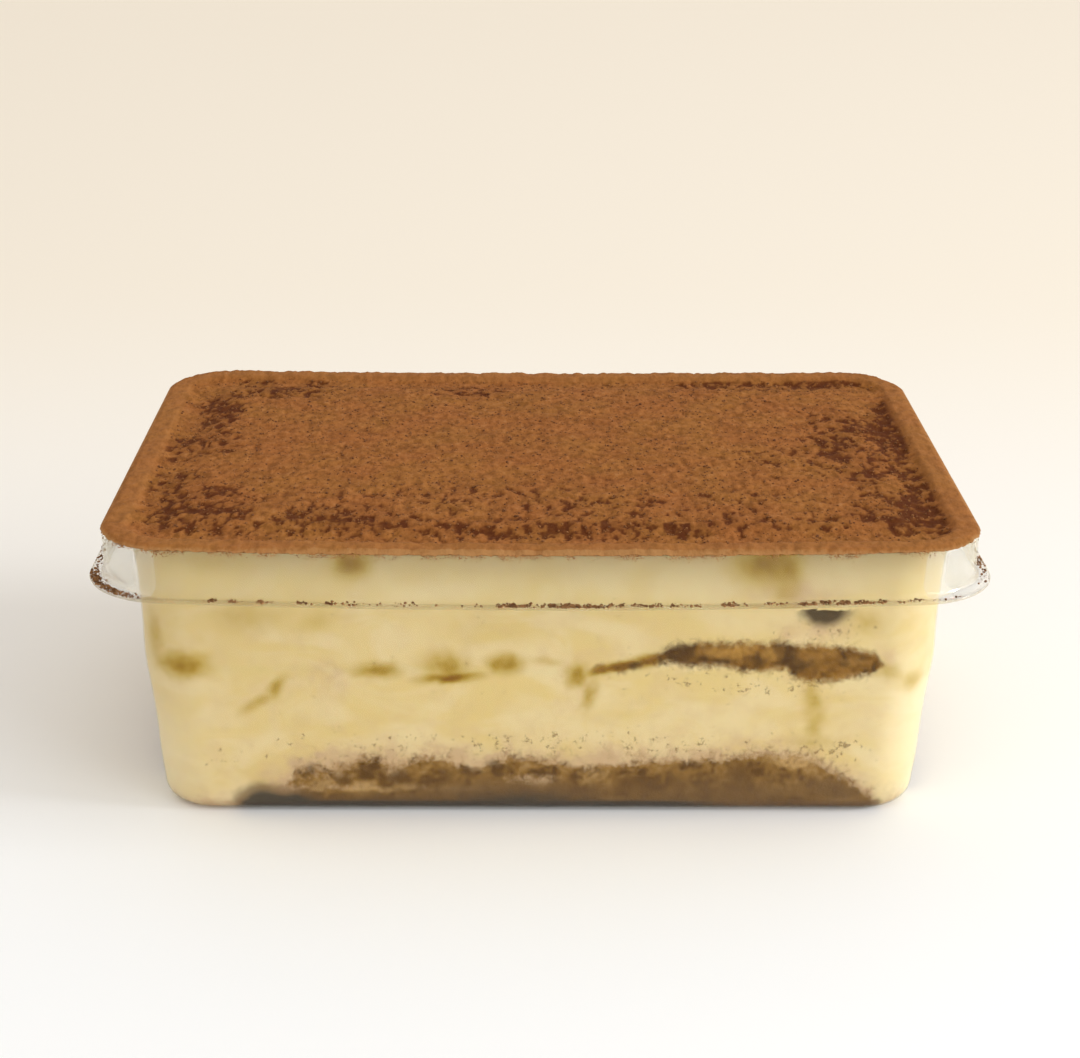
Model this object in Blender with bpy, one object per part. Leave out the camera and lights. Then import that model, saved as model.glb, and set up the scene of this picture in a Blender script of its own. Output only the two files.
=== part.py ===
"""A tiramisu filled to the brim of its clear rectangular takeaway tub, without a lid.

Metres, +Z up. The long side of the tub lies along X and its front faces -Y. The origin is the
middle of the flat bottom that the tub stands on. Every ring in this file is a rounded rectangle,
given by its inset from the outline of the rim.
"""
import math

import bmesh
import bpy
from mathutils import Vector

# The tub
RIM_LENGTH = 0.1720
RIM_WIDTH = 0.1200
RIM_CORNER = 0.0165
TUB_HEIGHT = 0.0608
SHEET = 0.0007
RIM_BAND = 0.0050
RIM_OUTER_ROUND = 0.0010
RIM_INNER_ROUND = 0.0008
FLANGE_REACH = 0.0036
FLANGE_TOP = 0.0515
FLANGE_ROUND = 0.0012
BODY_CORNER = 0.0115
FOOT_ROUND = 0.0050
LEAST_CORNER = 0.0040
LONG_SIDE_BOW = 0.0008
LONG_SIDE_SAG = 0.0009
# Height of a station on the wall, and the inset of the wall's outer face there
WALL_STATIONS = (
    (0.0050, 0.0083),
    (0.0090, 0.0077),
    (0.0170, 0.0072),
    (0.0225, 0.0067),
    (0.0290, 0.0060),
    (0.0325, 0.0055),
    (0.0405, 0.0055),
    (0.0515, 0.0051),
    (0.0590, 0.0044),
)

# The filling
CLEAR = 0.00035
GAP = 0.0003
BASE_SPONGE_TOP = 0.0134
BASE_SPONGE_LEAST = 0.0024
SEAM_HEIGHT = 0.0332
SEAM_HALF_DEPTH = 0.0007
MIDDLE_SPONGE_HALF_DEPTH = 0.0046
WALL_BLEND = 0.0090
CREAM_EDGE_HEIGHT = 0.0594
CREAM_MIDDLE_HEIGHT = 0.0603
CREAM_RISE_REACH = 0.0160
COCOA_DEPTH = 0.0005
COCOA_LUMP = 0.0003
# Insets of the cocoa's edge on the rim, of its turn down towards the cream, and of its foot there
COCOA_EDGE_INSET = 0.0006
COCOA_TURN_INSET = 0.0046
COCOA_FOOT_INSET = 0.0057
COCOA_EDGE_ROUND = 0.0003
# Waves that make up an uneven face: strength, relative length and heading in degrees
RIPPLE_WAVES = ((1.0, 1.0, 17.0), (1.0, 1.37, 102.0), (0.6, 0.62, 53.0))
BASE_SPONGE_RIPPLE = 0.0005
SEAM_RIPPLE = 0.0005
CREAM_RIPPLE = 0.0002
# Distances of the rings of a layer's face from the tub's wall
FACE_RINGS = (0.0, 0.0030, 0.0090, 0.0220, 0.0400)

# Where the middle sponge is pressed against the wall: x, y, half length, rise and drop from the seam
SPONGE_PATCHES = (
    (0.0280, -0.0550, 0.0160, 0.0050, 0.0008),
    (0.0430, -0.0550, 0.0210, 0.0058, 0.0016),
    (0.0560, -0.0550, 0.0130, 0.0048, 0.0030),
    (-0.0190, -0.0550, 0.0080, 0.0030, 0.0018),
    (-0.0320, -0.0550, 0.0060, 0.0012, 0.0014),
    (-0.0720, -0.0520, 0.0090, 0.0026, 0.0022),
    (0.0805, 0.0100, 0.0200, 0.0044, 0.0022),
    (0.0805, -0.0260, 0.0090, 0.0020, 0.0016),
    (0.0480, 0.0550, 0.0140, 0.0040, 0.0014),
    (-0.0060, 0.0550, 0.0240, 0.0054, 0.0026),
    (-0.0560, 0.0550, 0.0100, 0.0030, 0.0020),
    (-0.0805, 0.0180, 0.0150, 0.0046, 0.0016),
    (-0.0805, -0.0160, 0.0110, 0.0024, 0.0022),
)
# Where cream runs down past the base sponge: x, y, reach of the bare wall, reach of the slope
CREAM_CORNERS = (
    (-0.0780, -0.0520, 0.0140, 0.0290),
    (0.0780, -0.0500, 0.0060, 0.0250),
    (0.0780, 0.0500, 0.0080, 0.0240),
    (-0.0600, 0.0520, 0.0060, 0.0180),
)

# Facets
TUB_CORNER_STEPS = 6
TUB_LONG_STEPS = 6
TUB_SHORT_STEPS = 4
FOOD_CORNER_STEPS = 6
FOOD_LONG_STEPS = 14
FOOD_SHORT_STEPS = 7
ROUND_STEPS = 3
SMOOTH_ANGLE = math.radians(32)


def blend(start, end, share):
    """Number between two others, eased at both ends."""
    share = min(1.0, max(0.0, share))
    return start + (end - start) * share * share * (3.0 - 2.0 * share)


def along_stations(stations, at):
    """Value at a place on a line of straight runs between stations."""
    for (low, low_value), (high, high_value) in zip(stations, stations[1:]):
        if at <= high:
            share = max(0.0, (at - low) / (high - low))
            return low_value + (high_value - low_value) * share
    return stations[-1][1]


def settled(x, y, z):
    """The long sides of a full tub bow outwards, and their rim sags a little between the corners."""
    reach = RIM_LENGTH / 2 - RIM_CORNER
    along = max(0.0, 1.0 - (x / reach) ** 2)
    outwards = y / (RIM_WIDTH / 2)
    up = z / TUB_HEIGHT
    bowed = y + LONG_SIDE_BOW * along * outwards * up
    return Vector((x, bowed, z - LONG_SIDE_SAG * along * (outwards * up) ** 2))


def plan(inset, corner, corner_steps, long_steps, short_steps):
    """Plan points of a rounded rectangle, anticlockwise from the front right corner's start."""
    half_x = RIM_LENGTH / 2 - inset - corner
    half_y = RIM_WIDTH / 2 - inset - corner
    centres = ((half_x, -half_y), (half_x, half_y), (-half_x, half_y), (-half_x, -half_y))
    points = []
    for quarter, (cx, cy) in enumerate(centres):
        for step in range(corner_steps + 1):
            angle = math.radians(90 * (quarter - 1 + step / corner_steps))
            points.append((cx + corner * math.cos(angle), cy + corner * math.sin(angle)))
        side_steps = short_steps if quarter % 2 == 0 else long_steps
        start = points[-1]
        along_y = quarter % 2 == 0
        for step in range(1, side_steps):
            share = step / side_steps
            if along_y:
                points.append((start[0], start[1] * (1 - 2 * share)))
            else:
                points.append((start[0] * (1 - 2 * share), start[1]))
    return points


def wall_inset(z, depth):
    """Inset of the surface that lies at a depth inside the wall's outer face."""
    if z >= FOOT_ROUND:
        return along_stations(WALL_STATIONS, z) + depth
    radius = FOOT_ROUND - depth
    below = min(radius, FOOT_ROUND - z)
    return WALL_STATIONS[0][1] + FOOT_ROUND - math.sqrt(max(0.0, radius ** 2 - below ** 2))


def body_corner(inset, depth):
    """Corner radius of the body at an inset: even on the wall, tighter round the foot."""
    round_the_foot = max(0.0, inset - depth - WALL_STATIONS[0][1])
    return max(LEAST_CORNER, BODY_CORNER - depth - round_the_foot)


def tub_ring(inset, z, corner):
    """One ring of the tub's skin."""
    outline = plan(inset, corner, TUB_CORNER_STEPS, TUB_LONG_STEPS, TUB_SHORT_STEPS)
    return [settled(x, y, z) for x, y in outline]


def arc(inset, z, radius, start, end):
    """Points of a section's round, as inset and height, between two angles from the outward side."""
    points = []
    for step in range(ROUND_STEPS + 1):
        angle = math.radians(start + (end - start) * step / ROUND_STEPS)
        points.append((inset - radius * math.cos(angle), z + radius * math.sin(angle)))
    return points


def link(mesh, outer, inner):
    """Two triangles for each step round two rings, split from the outer ring's corners."""
    count = len(outer)
    for step in range(count):
        following = (step + 1) % count
        mesh.faces.new((outer[step], outer[following], inner[following]))
        mesh.faces.new((outer[step], inner[following], inner[step]))


def close(mesh, ring, middle):
    """Close a ring with a flat face, or with a fan to a middle point."""
    if middle is None:
        mesh.faces.new(ring)
        return
    tip = mesh.verts.new(middle)
    for step, corner in enumerate(ring):
        mesh.faces.new((corner, ring[(step + 1) % len(ring)], tip))


def closed_skin(name, rings, first_middle, last_middle, material, widening=0):
    """Object whose skin runs through the rings and is closed at the first and the last of them.

    The first rings, as many as widening says, grow outwards. They are linked from the outer ring
    too, so that the faces of two layers that meet are split alike.
    """
    skin = bmesh.new()
    corners = [[skin.verts.new(point) for point in ring] for ring in rings]
    for band, (one, another) in enumerate(zip(corners, corners[1:])):
        if band < widening:
            link(skin, another, one)
        else:
            link(skin, one, another)
    close(skin, corners[0], first_middle)
    close(skin, corners[-1], last_middle)
    bmesh.ops.recalc_face_normals(skin, faces=skin.faces[:])
    mesh = bpy.data.meshes.new(name)
    skin.to_mesh(mesh)
    skin.free()
    mesh.shade_smooth()
    mesh.set_sharp_from_angle(angle=SMOOTH_ANGLE)
    mesh.materials.append(material)
    piece = bpy.data.objects.new(name, mesh)
    bpy.context.scene.collection.objects.link(piece)
    return piece


def plain_material(name, colour, roughness, metallic=0.0, alpha=1.0):
    """Principled material of one colour."""
    material = bpy.data.materials.new(name)
    material.use_nodes = True
    shader = material.node_tree.nodes["Principled BSDF"]
    shader.inputs["Base Color"].default_value = (*colour, 1.0)
    shader.inputs["Roughness"].default_value = roughness
    shader.inputs["Metallic"].default_value = metallic
    shader.inputs["Alpha"].default_value = alpha
    material.diffuse_color = (*colour, 1.0)
    return material


def foot_section(depth):
    """Section of the round between the flat bottom and the wall, for one face of the sheet."""
    centre_inset = WALL_STATIONS[0][1] + FOOT_ROUND
    return arc(centre_inset, FOOT_ROUND, FOOT_ROUND - depth, -90, 0)


def body_rings(depth):
    """Rings of the tub's bottom and wall, upwards, for one face of the sheet."""
    section = foot_section(depth)
    section += [(inset + depth, z) for z, inset in WALL_STATIONS[1:]]
    return [tub_ring(inset, z, body_corner(inset, depth)) for inset, z in section]


def rim_rings():
    """Rings of the rim and flange, from the wall's outer face over the rim to its inner face."""
    channel_roof = TUB_HEIGHT - SHEET
    skirt_foot = FLANGE_TOP - SHEET
    top_inset = RIM_OUTER_ROUND
    under_round = FLANGE_ROUND + SHEET
    section = [(RIM_BAND - SHEET, channel_roof), (SHEET, channel_roof)]
    section += arc(SHEET - under_round, skirt_foot + under_round, under_round, 180, 270)
    section += [(-FLANGE_REACH, skirt_foot), (-FLANGE_REACH, FLANGE_TOP)]
    section += arc(-FLANGE_ROUND, FLANGE_TOP + FLANGE_ROUND, FLANGE_ROUND, 270, 180)
    section += arc(top_inset, TUB_HEIGHT - RIM_OUTER_ROUND, RIM_OUTER_ROUND, 0, 90)
    inner_centre = RIM_BAND - RIM_INNER_ROUND
    section += arc(inner_centre, TUB_HEIGHT - RIM_INNER_ROUND, RIM_INNER_ROUND, 90, 180)
    return [tub_ring(inset, z, RIM_CORNER - inset) for inset, z in section]


def make_tub():
    """The tub, one sheet of clear plastic with a hollow rim and a flange at the skirt's foot."""
    plastic = plain_material("clear_plastic", (0.93, 0.94, 0.93), 0.08, alpha=0.35)
    inside = body_rings(SHEET)
    inside.reverse()
    rings = body_rings(0.0) + rim_rings() + inside
    return closed_skin("tub", rings, None, None, plastic)


def ripple(x, y, wave, phase):
    """Uneven rise and fall between -1 and 1, with waves of about the given length."""
    turn = 2 * math.pi / wave
    rise = 0.0
    for strength, length, heading in RIPPLE_WAVES:
        across = x * math.cos(math.radians(heading)) + y * math.sin(math.radians(heading))
        rise += strength * math.sin(turn * across / length + phase * (1.0 + length))
    return rise / sum(wave_line[0] for wave_line in RIPPLE_WAVES)


def seam_patch(x, y):
    """Largest rise and drop of the middle sponge from its seam, at a place beside the wall."""
    rise = SEAM_HALF_DEPTH
    drop = SEAM_HALF_DEPTH
    for patch_x, patch_y, half_length, patch_rise, patch_drop in SPONGE_PATCHES:
        share = 1.0 - (math.hypot(x - patch_x, y - patch_y) / half_length) ** 2
        rise = max(rise, patch_rise * max(0.0, share) ** 0.5)
        drop = max(drop, patch_drop * max(0.0, share) ** 0.5)
    return rise, drop


def base_sponge_face(x, y, inwards):
    """Height of the top of the base sponge."""
    inner = BASE_SPONGE_TOP + BASE_SPONGE_RIPPLE * ripple(x, y, 0.030, 0.4)
    bare = 0.0
    for corner_x, corner_y, bare_reach, slope_reach in CREAM_CORNERS:
        away = math.hypot(x - corner_x, y - corner_y)
        bare = max(bare, min(1.0, (slope_reach - away) / (slope_reach - bare_reach)))
    at_wall = inner + (BASE_SPONGE_LEAST - inner) * bare
    return blend(at_wall, inner, inwards / WALL_BLEND)


def seam_middle(x, y):
    """Height of the seam that the middle sponge lies along."""
    return SEAM_HEIGHT + SEAM_RIPPLE * ripple(x, y, 0.046, 1.9)


def middle_sponge_foot(x, y, inwards):
    """Height of the underside of the middle sponge."""
    drop = blend(seam_patch(x, y)[1], MIDDLE_SPONGE_HALF_DEPTH, inwards / WALL_BLEND)
    return seam_middle(x, y) - drop


def middle_sponge_top(x, y, inwards):
    """Height of the top of the middle sponge."""
    rise = blend(seam_patch(x, y)[0], MIDDLE_SPONGE_HALF_DEPTH, inwards / WALL_BLEND)
    return seam_middle(x, y) + rise


def cream_top(x, y, inwards):
    """Height of the face between the upper cream and the cocoa."""
    level = blend(CREAM_EDGE_HEIGHT, CREAM_MIDDLE_HEIGHT, inwards / CREAM_RISE_REACH)
    return level + CREAM_RIPPLE * ripple(x, y, 0.034, 3.3)


def food_plan(inset, corner):
    """Plan points of one ring of the filling."""
    return plan(inset, corner, FOOD_CORNER_STEPS, FOOD_LONG_STEPS, FOOD_SHORT_STEPS)


def wall_points():
    """Plan points beside the wall, at which the filling's heights are read."""
    inset = wall_inset(SEAM_HEIGHT, SHEET)
    return food_plan(inset, body_corner(inset, SHEET))


def face_rings(height, lift):
    """Rings of a face that crosses the filling, from the wall inwards, moved up by a lift."""
    rings = []
    depth = SHEET + CLEAR
    for inwards in FACE_RINGS:
        reading_inset = wall_inset(SEAM_HEIGHT, SHEET) + inwards
        reading_corner = max(LEAST_CORNER, BODY_CORNER - SHEET - inwards)
        ring = []
        for step, (x, y) in enumerate(food_plan(reading_inset, reading_corner)):
            z = height(x, y, inwards)
            inset = wall_inset(z, depth)
            corner = max(LEAST_CORNER, body_corner(inset, depth) - inwards)
            place = food_plan(inset + inwards, corner)[step]
            ring.append(settled(*place, z + lift))
        rings.append(ring)
    return rings


def face_middle(height, lift):
    """Middle point of a face that crosses the filling."""
    return settled(0.0, 0.0, height(0.0, 0.0, RIM_WIDTH / 2) + lift)


def side_rings(low, high, rows, crowding=1.0):
    """Rings up the side of a layer, between the outer rings of its two faces."""
    rings = []
    depth = SHEET + CLEAR
    reading = wall_points()
    for row in range(1, rows + 1):
        share = (row / (rows + 1)) ** crowding
        ring = []
        for step, (x, y) in enumerate(reading):
            bottom = low(x, y, 0.0)
            z = bottom + (high(x, y, 0.0) - bottom) * share
            inset = wall_inset(z, depth)
            place = food_plan(inset, body_corner(inset, depth))[step]
            ring.append(settled(*place, z))
        rings.append(ring)
    return rings


def layer(name, low, high, rows, crowding, material):
    """Layer of the filling between two faces."""
    bottom = face_rings(low, GAP / 2)
    bottom.reverse()
    rings = bottom + side_rings(low, high, rows, crowding) + face_rings(high, -GAP / 2)
    first = face_middle(low, GAP / 2)
    last = face_middle(high, -GAP / 2)
    return closed_skin(name, rings, first, last, material, len(bottom) - 1)


def make_base_sponge(material):
    """Soaked sponge on the floor of the tub, with a flat underside."""
    floor = SHEET + CLEAR
    floor_inset = wall_inset(floor, floor)

    def underside(_x, _y, _inwards):
        return floor

    foot = [settled(x, y, floor) for x, y in food_plan(floor_inset, body_corner(floor_inset, floor))]
    sides = side_rings(underside, base_sponge_face, 3, 1.3)
    rings = [foot] + sides + face_rings(base_sponge_face, -GAP / 2)
    last = face_middle(base_sponge_face, -GAP / 2)
    return closed_skin("sponge_base", rings, None, last, material)


def cocoa_edge(z, inset):
    """Ring of the cocoa where it lies on the rim."""
    return [settled(x, y, z) for x, y in food_plan(inset, RIM_CORNER - inset)]


def make_cocoa(material):
    """Cocoa over the cream and out over the rim."""
    under = TUB_HEIGHT + GAP
    crest = under + COCOA_DEPTH
    foot = TUB_HEIGHT - RIM_INNER_ROUND

    def lumpy(x, y, inwards):
        lump = COCOA_LUMP * max(0.0, ripple(x, y, 0.017, 5.2))
        return cream_top(x, y, inwards) + GAP / 2 + COCOA_DEPTH + lump

    underside = [
        cocoa_edge(under, COCOA_EDGE_INSET),
        cocoa_edge(under, COCOA_TURN_INSET),
        cocoa_edge(foot, COCOA_FOOT_INSET),
    ]
    underside += face_rings(cream_top, GAP / 2)[1:]
    underside.reverse()
    top = [
        cocoa_edge(crest - COCOA_EDGE_ROUND, COCOA_EDGE_INSET),
        cocoa_edge(crest, COCOA_EDGE_INSET + COCOA_EDGE_ROUND),
        cocoa_edge(crest, COCOA_TURN_INSET + COCOA_EDGE_ROUND),
        cocoa_edge(foot + COCOA_DEPTH, COCOA_FOOT_INSET + COCOA_EDGE_ROUND),
    ]
    top += face_rings(lumpy, 0.0)[1:]
    first = face_middle(cream_top, GAP / 2)
    last = face_middle(lumpy, 0.0)
    return closed_skin("cocoa_layer", underside + top, first, last, material, len(underside) - 1)


def make_filling():
    """The layers from the floor of the tub up to its brim."""
    soaked = plain_material("soaked_sponge", (0.165, 0.085, 0.032), 0.6)
    sponge = plain_material("coffee_sponge", (0.26, 0.14, 0.055), 0.7)
    cream = plain_material("mascarpone_cream", (0.78, 0.62, 0.34), 0.45)
    cocoa = plain_material("cocoa_powder", (0.24, 0.10, 0.035), 0.9)
    make_base_sponge(soaked)
    layer("cream_lower", base_sponge_face, middle_sponge_foot, 3, 1.4, cream)
    layer("sponge_middle", middle_sponge_foot, middle_sponge_top, 1, 1.0, sponge)
    layer("cream_upper", middle_sponge_top, cream_top, 3, 1.0, cream)
    make_cocoa(cocoa)


def main():
    """Clear the scene and model the tub and its filling."""
    for old in list(bpy.data.objects):
        bpy.data.objects.remove(old, do_unlink=True)
    make_tub()
    make_filling()


main()
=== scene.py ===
"""Looks of a tiramisu that fills its clear takeaway tub to the brim, under a layer of cocoa.

Metres, +Z up. The front long side of the tub faces -Y. Every ring of the tub and its filling is a
rounded rectangle, given by its inset from the outline of the rim.
"""

import logging
import math
from dataclasses import dataclass
from enum import Enum
from typing import Callable, Sequence

import bpy
import numpy as np
from mathutils import Euler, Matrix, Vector, noise

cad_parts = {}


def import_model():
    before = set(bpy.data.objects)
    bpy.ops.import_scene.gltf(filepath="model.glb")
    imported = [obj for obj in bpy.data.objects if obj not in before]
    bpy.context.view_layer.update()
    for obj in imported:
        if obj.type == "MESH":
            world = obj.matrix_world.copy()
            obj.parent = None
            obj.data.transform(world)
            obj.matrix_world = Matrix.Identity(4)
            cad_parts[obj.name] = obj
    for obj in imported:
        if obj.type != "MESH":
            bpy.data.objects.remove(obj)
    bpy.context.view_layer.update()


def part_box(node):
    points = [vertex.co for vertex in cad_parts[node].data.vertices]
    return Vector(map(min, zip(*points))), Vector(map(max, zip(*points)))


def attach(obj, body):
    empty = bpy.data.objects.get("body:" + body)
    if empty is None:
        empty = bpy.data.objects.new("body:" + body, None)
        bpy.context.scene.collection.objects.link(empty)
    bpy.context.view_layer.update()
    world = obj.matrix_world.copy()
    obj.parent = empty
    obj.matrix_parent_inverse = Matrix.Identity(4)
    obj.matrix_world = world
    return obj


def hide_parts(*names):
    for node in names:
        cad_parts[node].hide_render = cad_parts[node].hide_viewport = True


LOG = logging.getLogger("tiramisu")
BODY = "root"
# How squarely an outward direction has to face a side to belong to it
FACING_BLEND = (0.35, 0.75)
# Seeds of the ragged edges of the sponges; the last is added for a foot
BASE_SEED = 5
MIDDLE_SEED = 20
FOOT_SEED = 40
# Steps between the patterns of two seeds, and how finer copies fade and shrink
SEED_STEP = (7.31, 3.77, 5.13)
FADING = 0.6
SHRINKING = 2.0

Colour = tuple[float, float, float]
Triple = tuple[float, float, float]
Range = tuple[float, float]
Points = np.ndarray


def linear(red: int, green: int, blue: int) -> Colour:
    """Linear colour of an sRGB one.

    Args:
        red: Red from 0 to 255.
        green: Green from 0 to 255.
        blue: Blue from 0 to 255.

    Returns:
        The three linear values.
    """
    shares = (value / 255.0 for value in (red, green, blue))
    return tuple(s / 12.92 if s <= 0.04045 else ((s + 0.055) / 1.055) ** 2.4 for s in shares)


def smooth_step(low: float, high: float, value: Points) -> Points:
    """Eased share of the way from low to high.

    Args:
        low: Value that gives 0.
        high: Value that gives 1.
        value: Values to read.

    Returns:
        Shares from 0 to 1.
    """
    share = np.clip((value - low) / (high - low), 0.0, 1.0)
    return share * share * (3.0 - 2.0 * share)


def window(rise: Range, fall: Range, value: Points) -> Points:
    """Share that eases in over one range of a value and out again over another."""
    return smooth_step(*rise, value) * (1 - smooth_step(*fall, value))


def rough(places: Points, size: float, seed: int, octaves: int = 3) -> Points:
    """Fractal unevenness at some places.

    Args:
        places: Places, one to a row.
        size: Size of the largest features.
        seed: Number that tells one pattern from another.
        octaves: Number of finer copies of the pattern, each half the size.

    Returns:
        Values mostly between -1 and 1, one for each place.
    """
    shift = Vector([seed * step for step in SEED_STEP])
    flat = places.reshape(-1, 3) / size
    values = [noise.fractal(Vector(place) + shift, FADING, SHRINKING, octaves) for place in flat]
    return np.array(values).reshape(places.shape[:-1])


@dataclass(frozen=True)
class Unevenness:
    """Fractal unevenness of one height and size, on a surface or along an edge."""

    height: float
    size: float
    seed: int
    octaves: int = 3

    def at(self, places: Points) -> Points:
        """Unevenness at places, mostly within its height up and down."""
        return self.height * rough(places, self.size, self.seed, self.octaves)


class Side(Enum):
    """A side of the tub, with the direction that it faces."""

    FRONT = (0.0, -1.0)
    RIGHT = (1.0, 0.0)
    BACK = (0.0, 1.0)
    LEFT = (-1.0, 0.0)

    def along(self, x: Points, y: Points) -> Points:
        """Distance along the side from its middle, rightwards or backwards."""
        return x if self.value[0] == 0.0 else y

    def faces(self, out_x: Points, out_y: Points) -> Points:
        """Share, from 0 to 1, in which an outward direction faces as the side does."""
        return smooth_step(*FACING_BLEND, out_x * self.value[0] + out_y * self.value[1])


class Value:
    """A number socket of a node tree, whose arithmetic adds Math nodes."""

    def __init__(self, graph: "Graph", socket: bpy.types.NodeSocket) -> None:
        """Wrap a socket of a graph."""
        self.graph = graph
        self.socket = socket

    def math(self, operation: str, other: "Value | float") -> "Value":
        """Math node on this value and another."""
        return self.graph.node("ShaderNodeMath", {"operation": operation}, [self, other])

    def __add__(self, other: "Value | float") -> "Value":
        """Sum."""
        return self.math("ADD", other)

    __radd__ = __add__

    def __sub__(self, other: "Value | float") -> "Value":
        """Difference."""
        return self.math("SUBTRACT", other)

    def __rsub__(self, other: float) -> "Value":
        """Difference from a number."""
        return self * -1.0 + other

    def __mul__(self, other: "Value | float") -> "Value":
        """Product."""
        return self.math("MULTIPLY", other)

    __rmul__ = __mul__

    def larger(self, other: "Value | float") -> "Value":
        """Larger of two values."""
        return self.math("MAXIMUM", other)

    def eased(self, low: float, high: float) -> "Value":
        """Eased share of the way from low to high."""
        settings = {"interpolation_type": "SMOOTHSTEP"}
        return self.graph.node("ShaderNodeMapRange", settings, {0: self, 1: low, 2: high})


@dataclass(frozen=True)
class Grain:
    """Noise of a finish: size of its features, finer copies, their strength and its distortion."""

    size: float
    detail: float = 3.0
    roughness: float = 0.55
    warp: float = 0.0


class Graph:
    """Node tree of one material, with a method for each kind of step that the finishes share."""

    def __init__(self, name: str) -> None:
        """Start an empty material.

        Args:
            name: Name of the material.
        """
        self.material = bpy.data.materials.new(name)
        self.material.use_nodes = True
        self.tree = self.material.node_tree
        self.tree.nodes.clear()
        self.place = self.node("ShaderNodeTexCoord", out="Object")

    def node(self, kind: str, settings: dict | None = None, inputs: Sequence | dict = (),
             out: int | str = 0) -> Value:
        """Add a node.

        Args:
            kind: Type of the node.
            settings: Properties of the node, set before its sockets are.
            inputs: Values or links of its sockets, in order or by name or number.
            out: Name or number of the output that is wanted.

        Returns:
            The wanted output.
        """
        made = self.tree.nodes.new(kind)
        for name, value in (settings or {}).items():
            setattr(made, name, value)
        pairs = inputs.items() if isinstance(inputs, dict) else enumerate(inputs)
        for key, value in pairs:
            socket = made.inputs[key]
            if isinstance(value, Value):
                self.tree.links.new(value.socket, socket)
            else:
                socket.default_value = value
        return Value(self, made.outputs[out])

    def mapped(self, scale: Sequence[float], turn: Sequence[float] = (0, 0, 0)) -> Value:
        """Place on the object, stretched and turned."""
        inputs = {"Vector": self.place, "Scale": scale, "Rotation": turn}
        return self.node("ShaderNodeMapping", None, inputs)

    def grain(self, grain: Grain, place: Value | None = None) -> Value:
        """Noise with the settings of a grain.

        Args:
            grain: The settings.
            place: Places to read, if not the plain ones on the object.

        Returns:
            The noise, mostly from 0.3 to 0.7.
        """
        inputs = {
            "Vector": place or self.place, "Scale": 1.0 / grain.size, "Detail": grain.detail,
            "Roughness": grain.roughness, "Distortion": grain.warp,
        }
        return self.node("ShaderNodeTexNoise", {"noise_dimensions": "3D"}, inputs)

    def cells(self, size: float) -> Value:
        """Distance in a pattern of cells of a size."""
        inputs = {"Vector": self.place, "Scale": 1.0 / size}
        return self.node("ShaderNodeTexVoronoi", {"feature": "F1"}, inputs, out="Distance")

    def attribute(self, name: str) -> Value:
        """Number that the mesh holds at each point."""
        return self.node("ShaderNodeAttribute", {"attribute_name": name}, out="Fac")

    def mix(self, share: "Value | float", low: "Value | Colour", high: "Value | Colour") -> Value:
        """Mix of two colours.

        Args:
            share: Share of the second one.
            low: The first one.
            high: The second one.

        Returns:
            The mixed colour.
        """
        sides = [c if isinstance(c, Value) else (*c, 1.0) for c in (low, high)]
        inputs = {0: share, 6: sides[0], 7: sides[1]}
        return self.node("ShaderNodeMix", {"data_type": "RGBA"}, inputs, out=2)

    def bump(self, height: Value, distance: float, strength: float = 1.0) -> Value:
        """Normal of a surface with relief."""
        inputs = {"Height": height, "Distance": distance, "Strength": strength}
        return self.node("ShaderNodeBump", None, inputs)

    def principled(self, **sockets: "Value | float | Sequence[float]") -> Value:
        """Principled shader; an underscore in a name stands for a space."""
        named = {name.replace("_", " "): value for name, value in sockets.items()}
        return self.node("ShaderNodeBsdfPrincipled", None, named)

    def finish(self, shader: Value) -> bpy.types.Material:
        """Show a shader.

        Args:
            shader: The shader.

        Returns:
            The finished material.
        """
        shown = self.tree.nodes.new("ShaderNodeOutputMaterial")
        self.tree.links.new(shader.socket, shown.inputs["Surface"])
        return self.material


@dataclass(frozen=True)
class ClearPlastic:
    """Thin clear plastic of the tub, which lets lamps reach what is behind it."""

    tint: Colour = (0.985, 0.99, 0.985)
    roughness: float = 0.03
    bend: float = 1.46
    thinness: float = 0.62
    wave: Grain = Grain(0.022, 1.5)
    wave_depth: float = 0.00010

    def material(self) -> bpy.types.Material:
        """Build the material.

        Returns:
            Thin glass for what the camera and mirrors see, and clear for light.
        """
        graph = Graph("clear_plastic")
        normal = graph.bump(graph.grain(self.wave), self.wave_depth)
        clear = graph.node("ShaderNodeBsdfTransparent", None, {"Color": (*self.tint, 1.0)})
        glass = graph.node("ShaderNodeBsdfGlass", None, {
            "Color": (*self.tint, 1.0), "Roughness": self.roughness,
            "IOR": self.bend, "Normal": normal,
        })
        thin = graph.node("ShaderNodeMixShader", None, [self.thinness, glass, clear])
        lamp = graph.node("ShaderNodeLightPath", out="Is Shadow Ray")
        soft = graph.node("ShaderNodeLightPath", out="Is Diffuse Ray")
        return graph.finish(graph.node("ShaderNodeMixShader", None, [lamp.larger(soft), thin, clear]))


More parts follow.
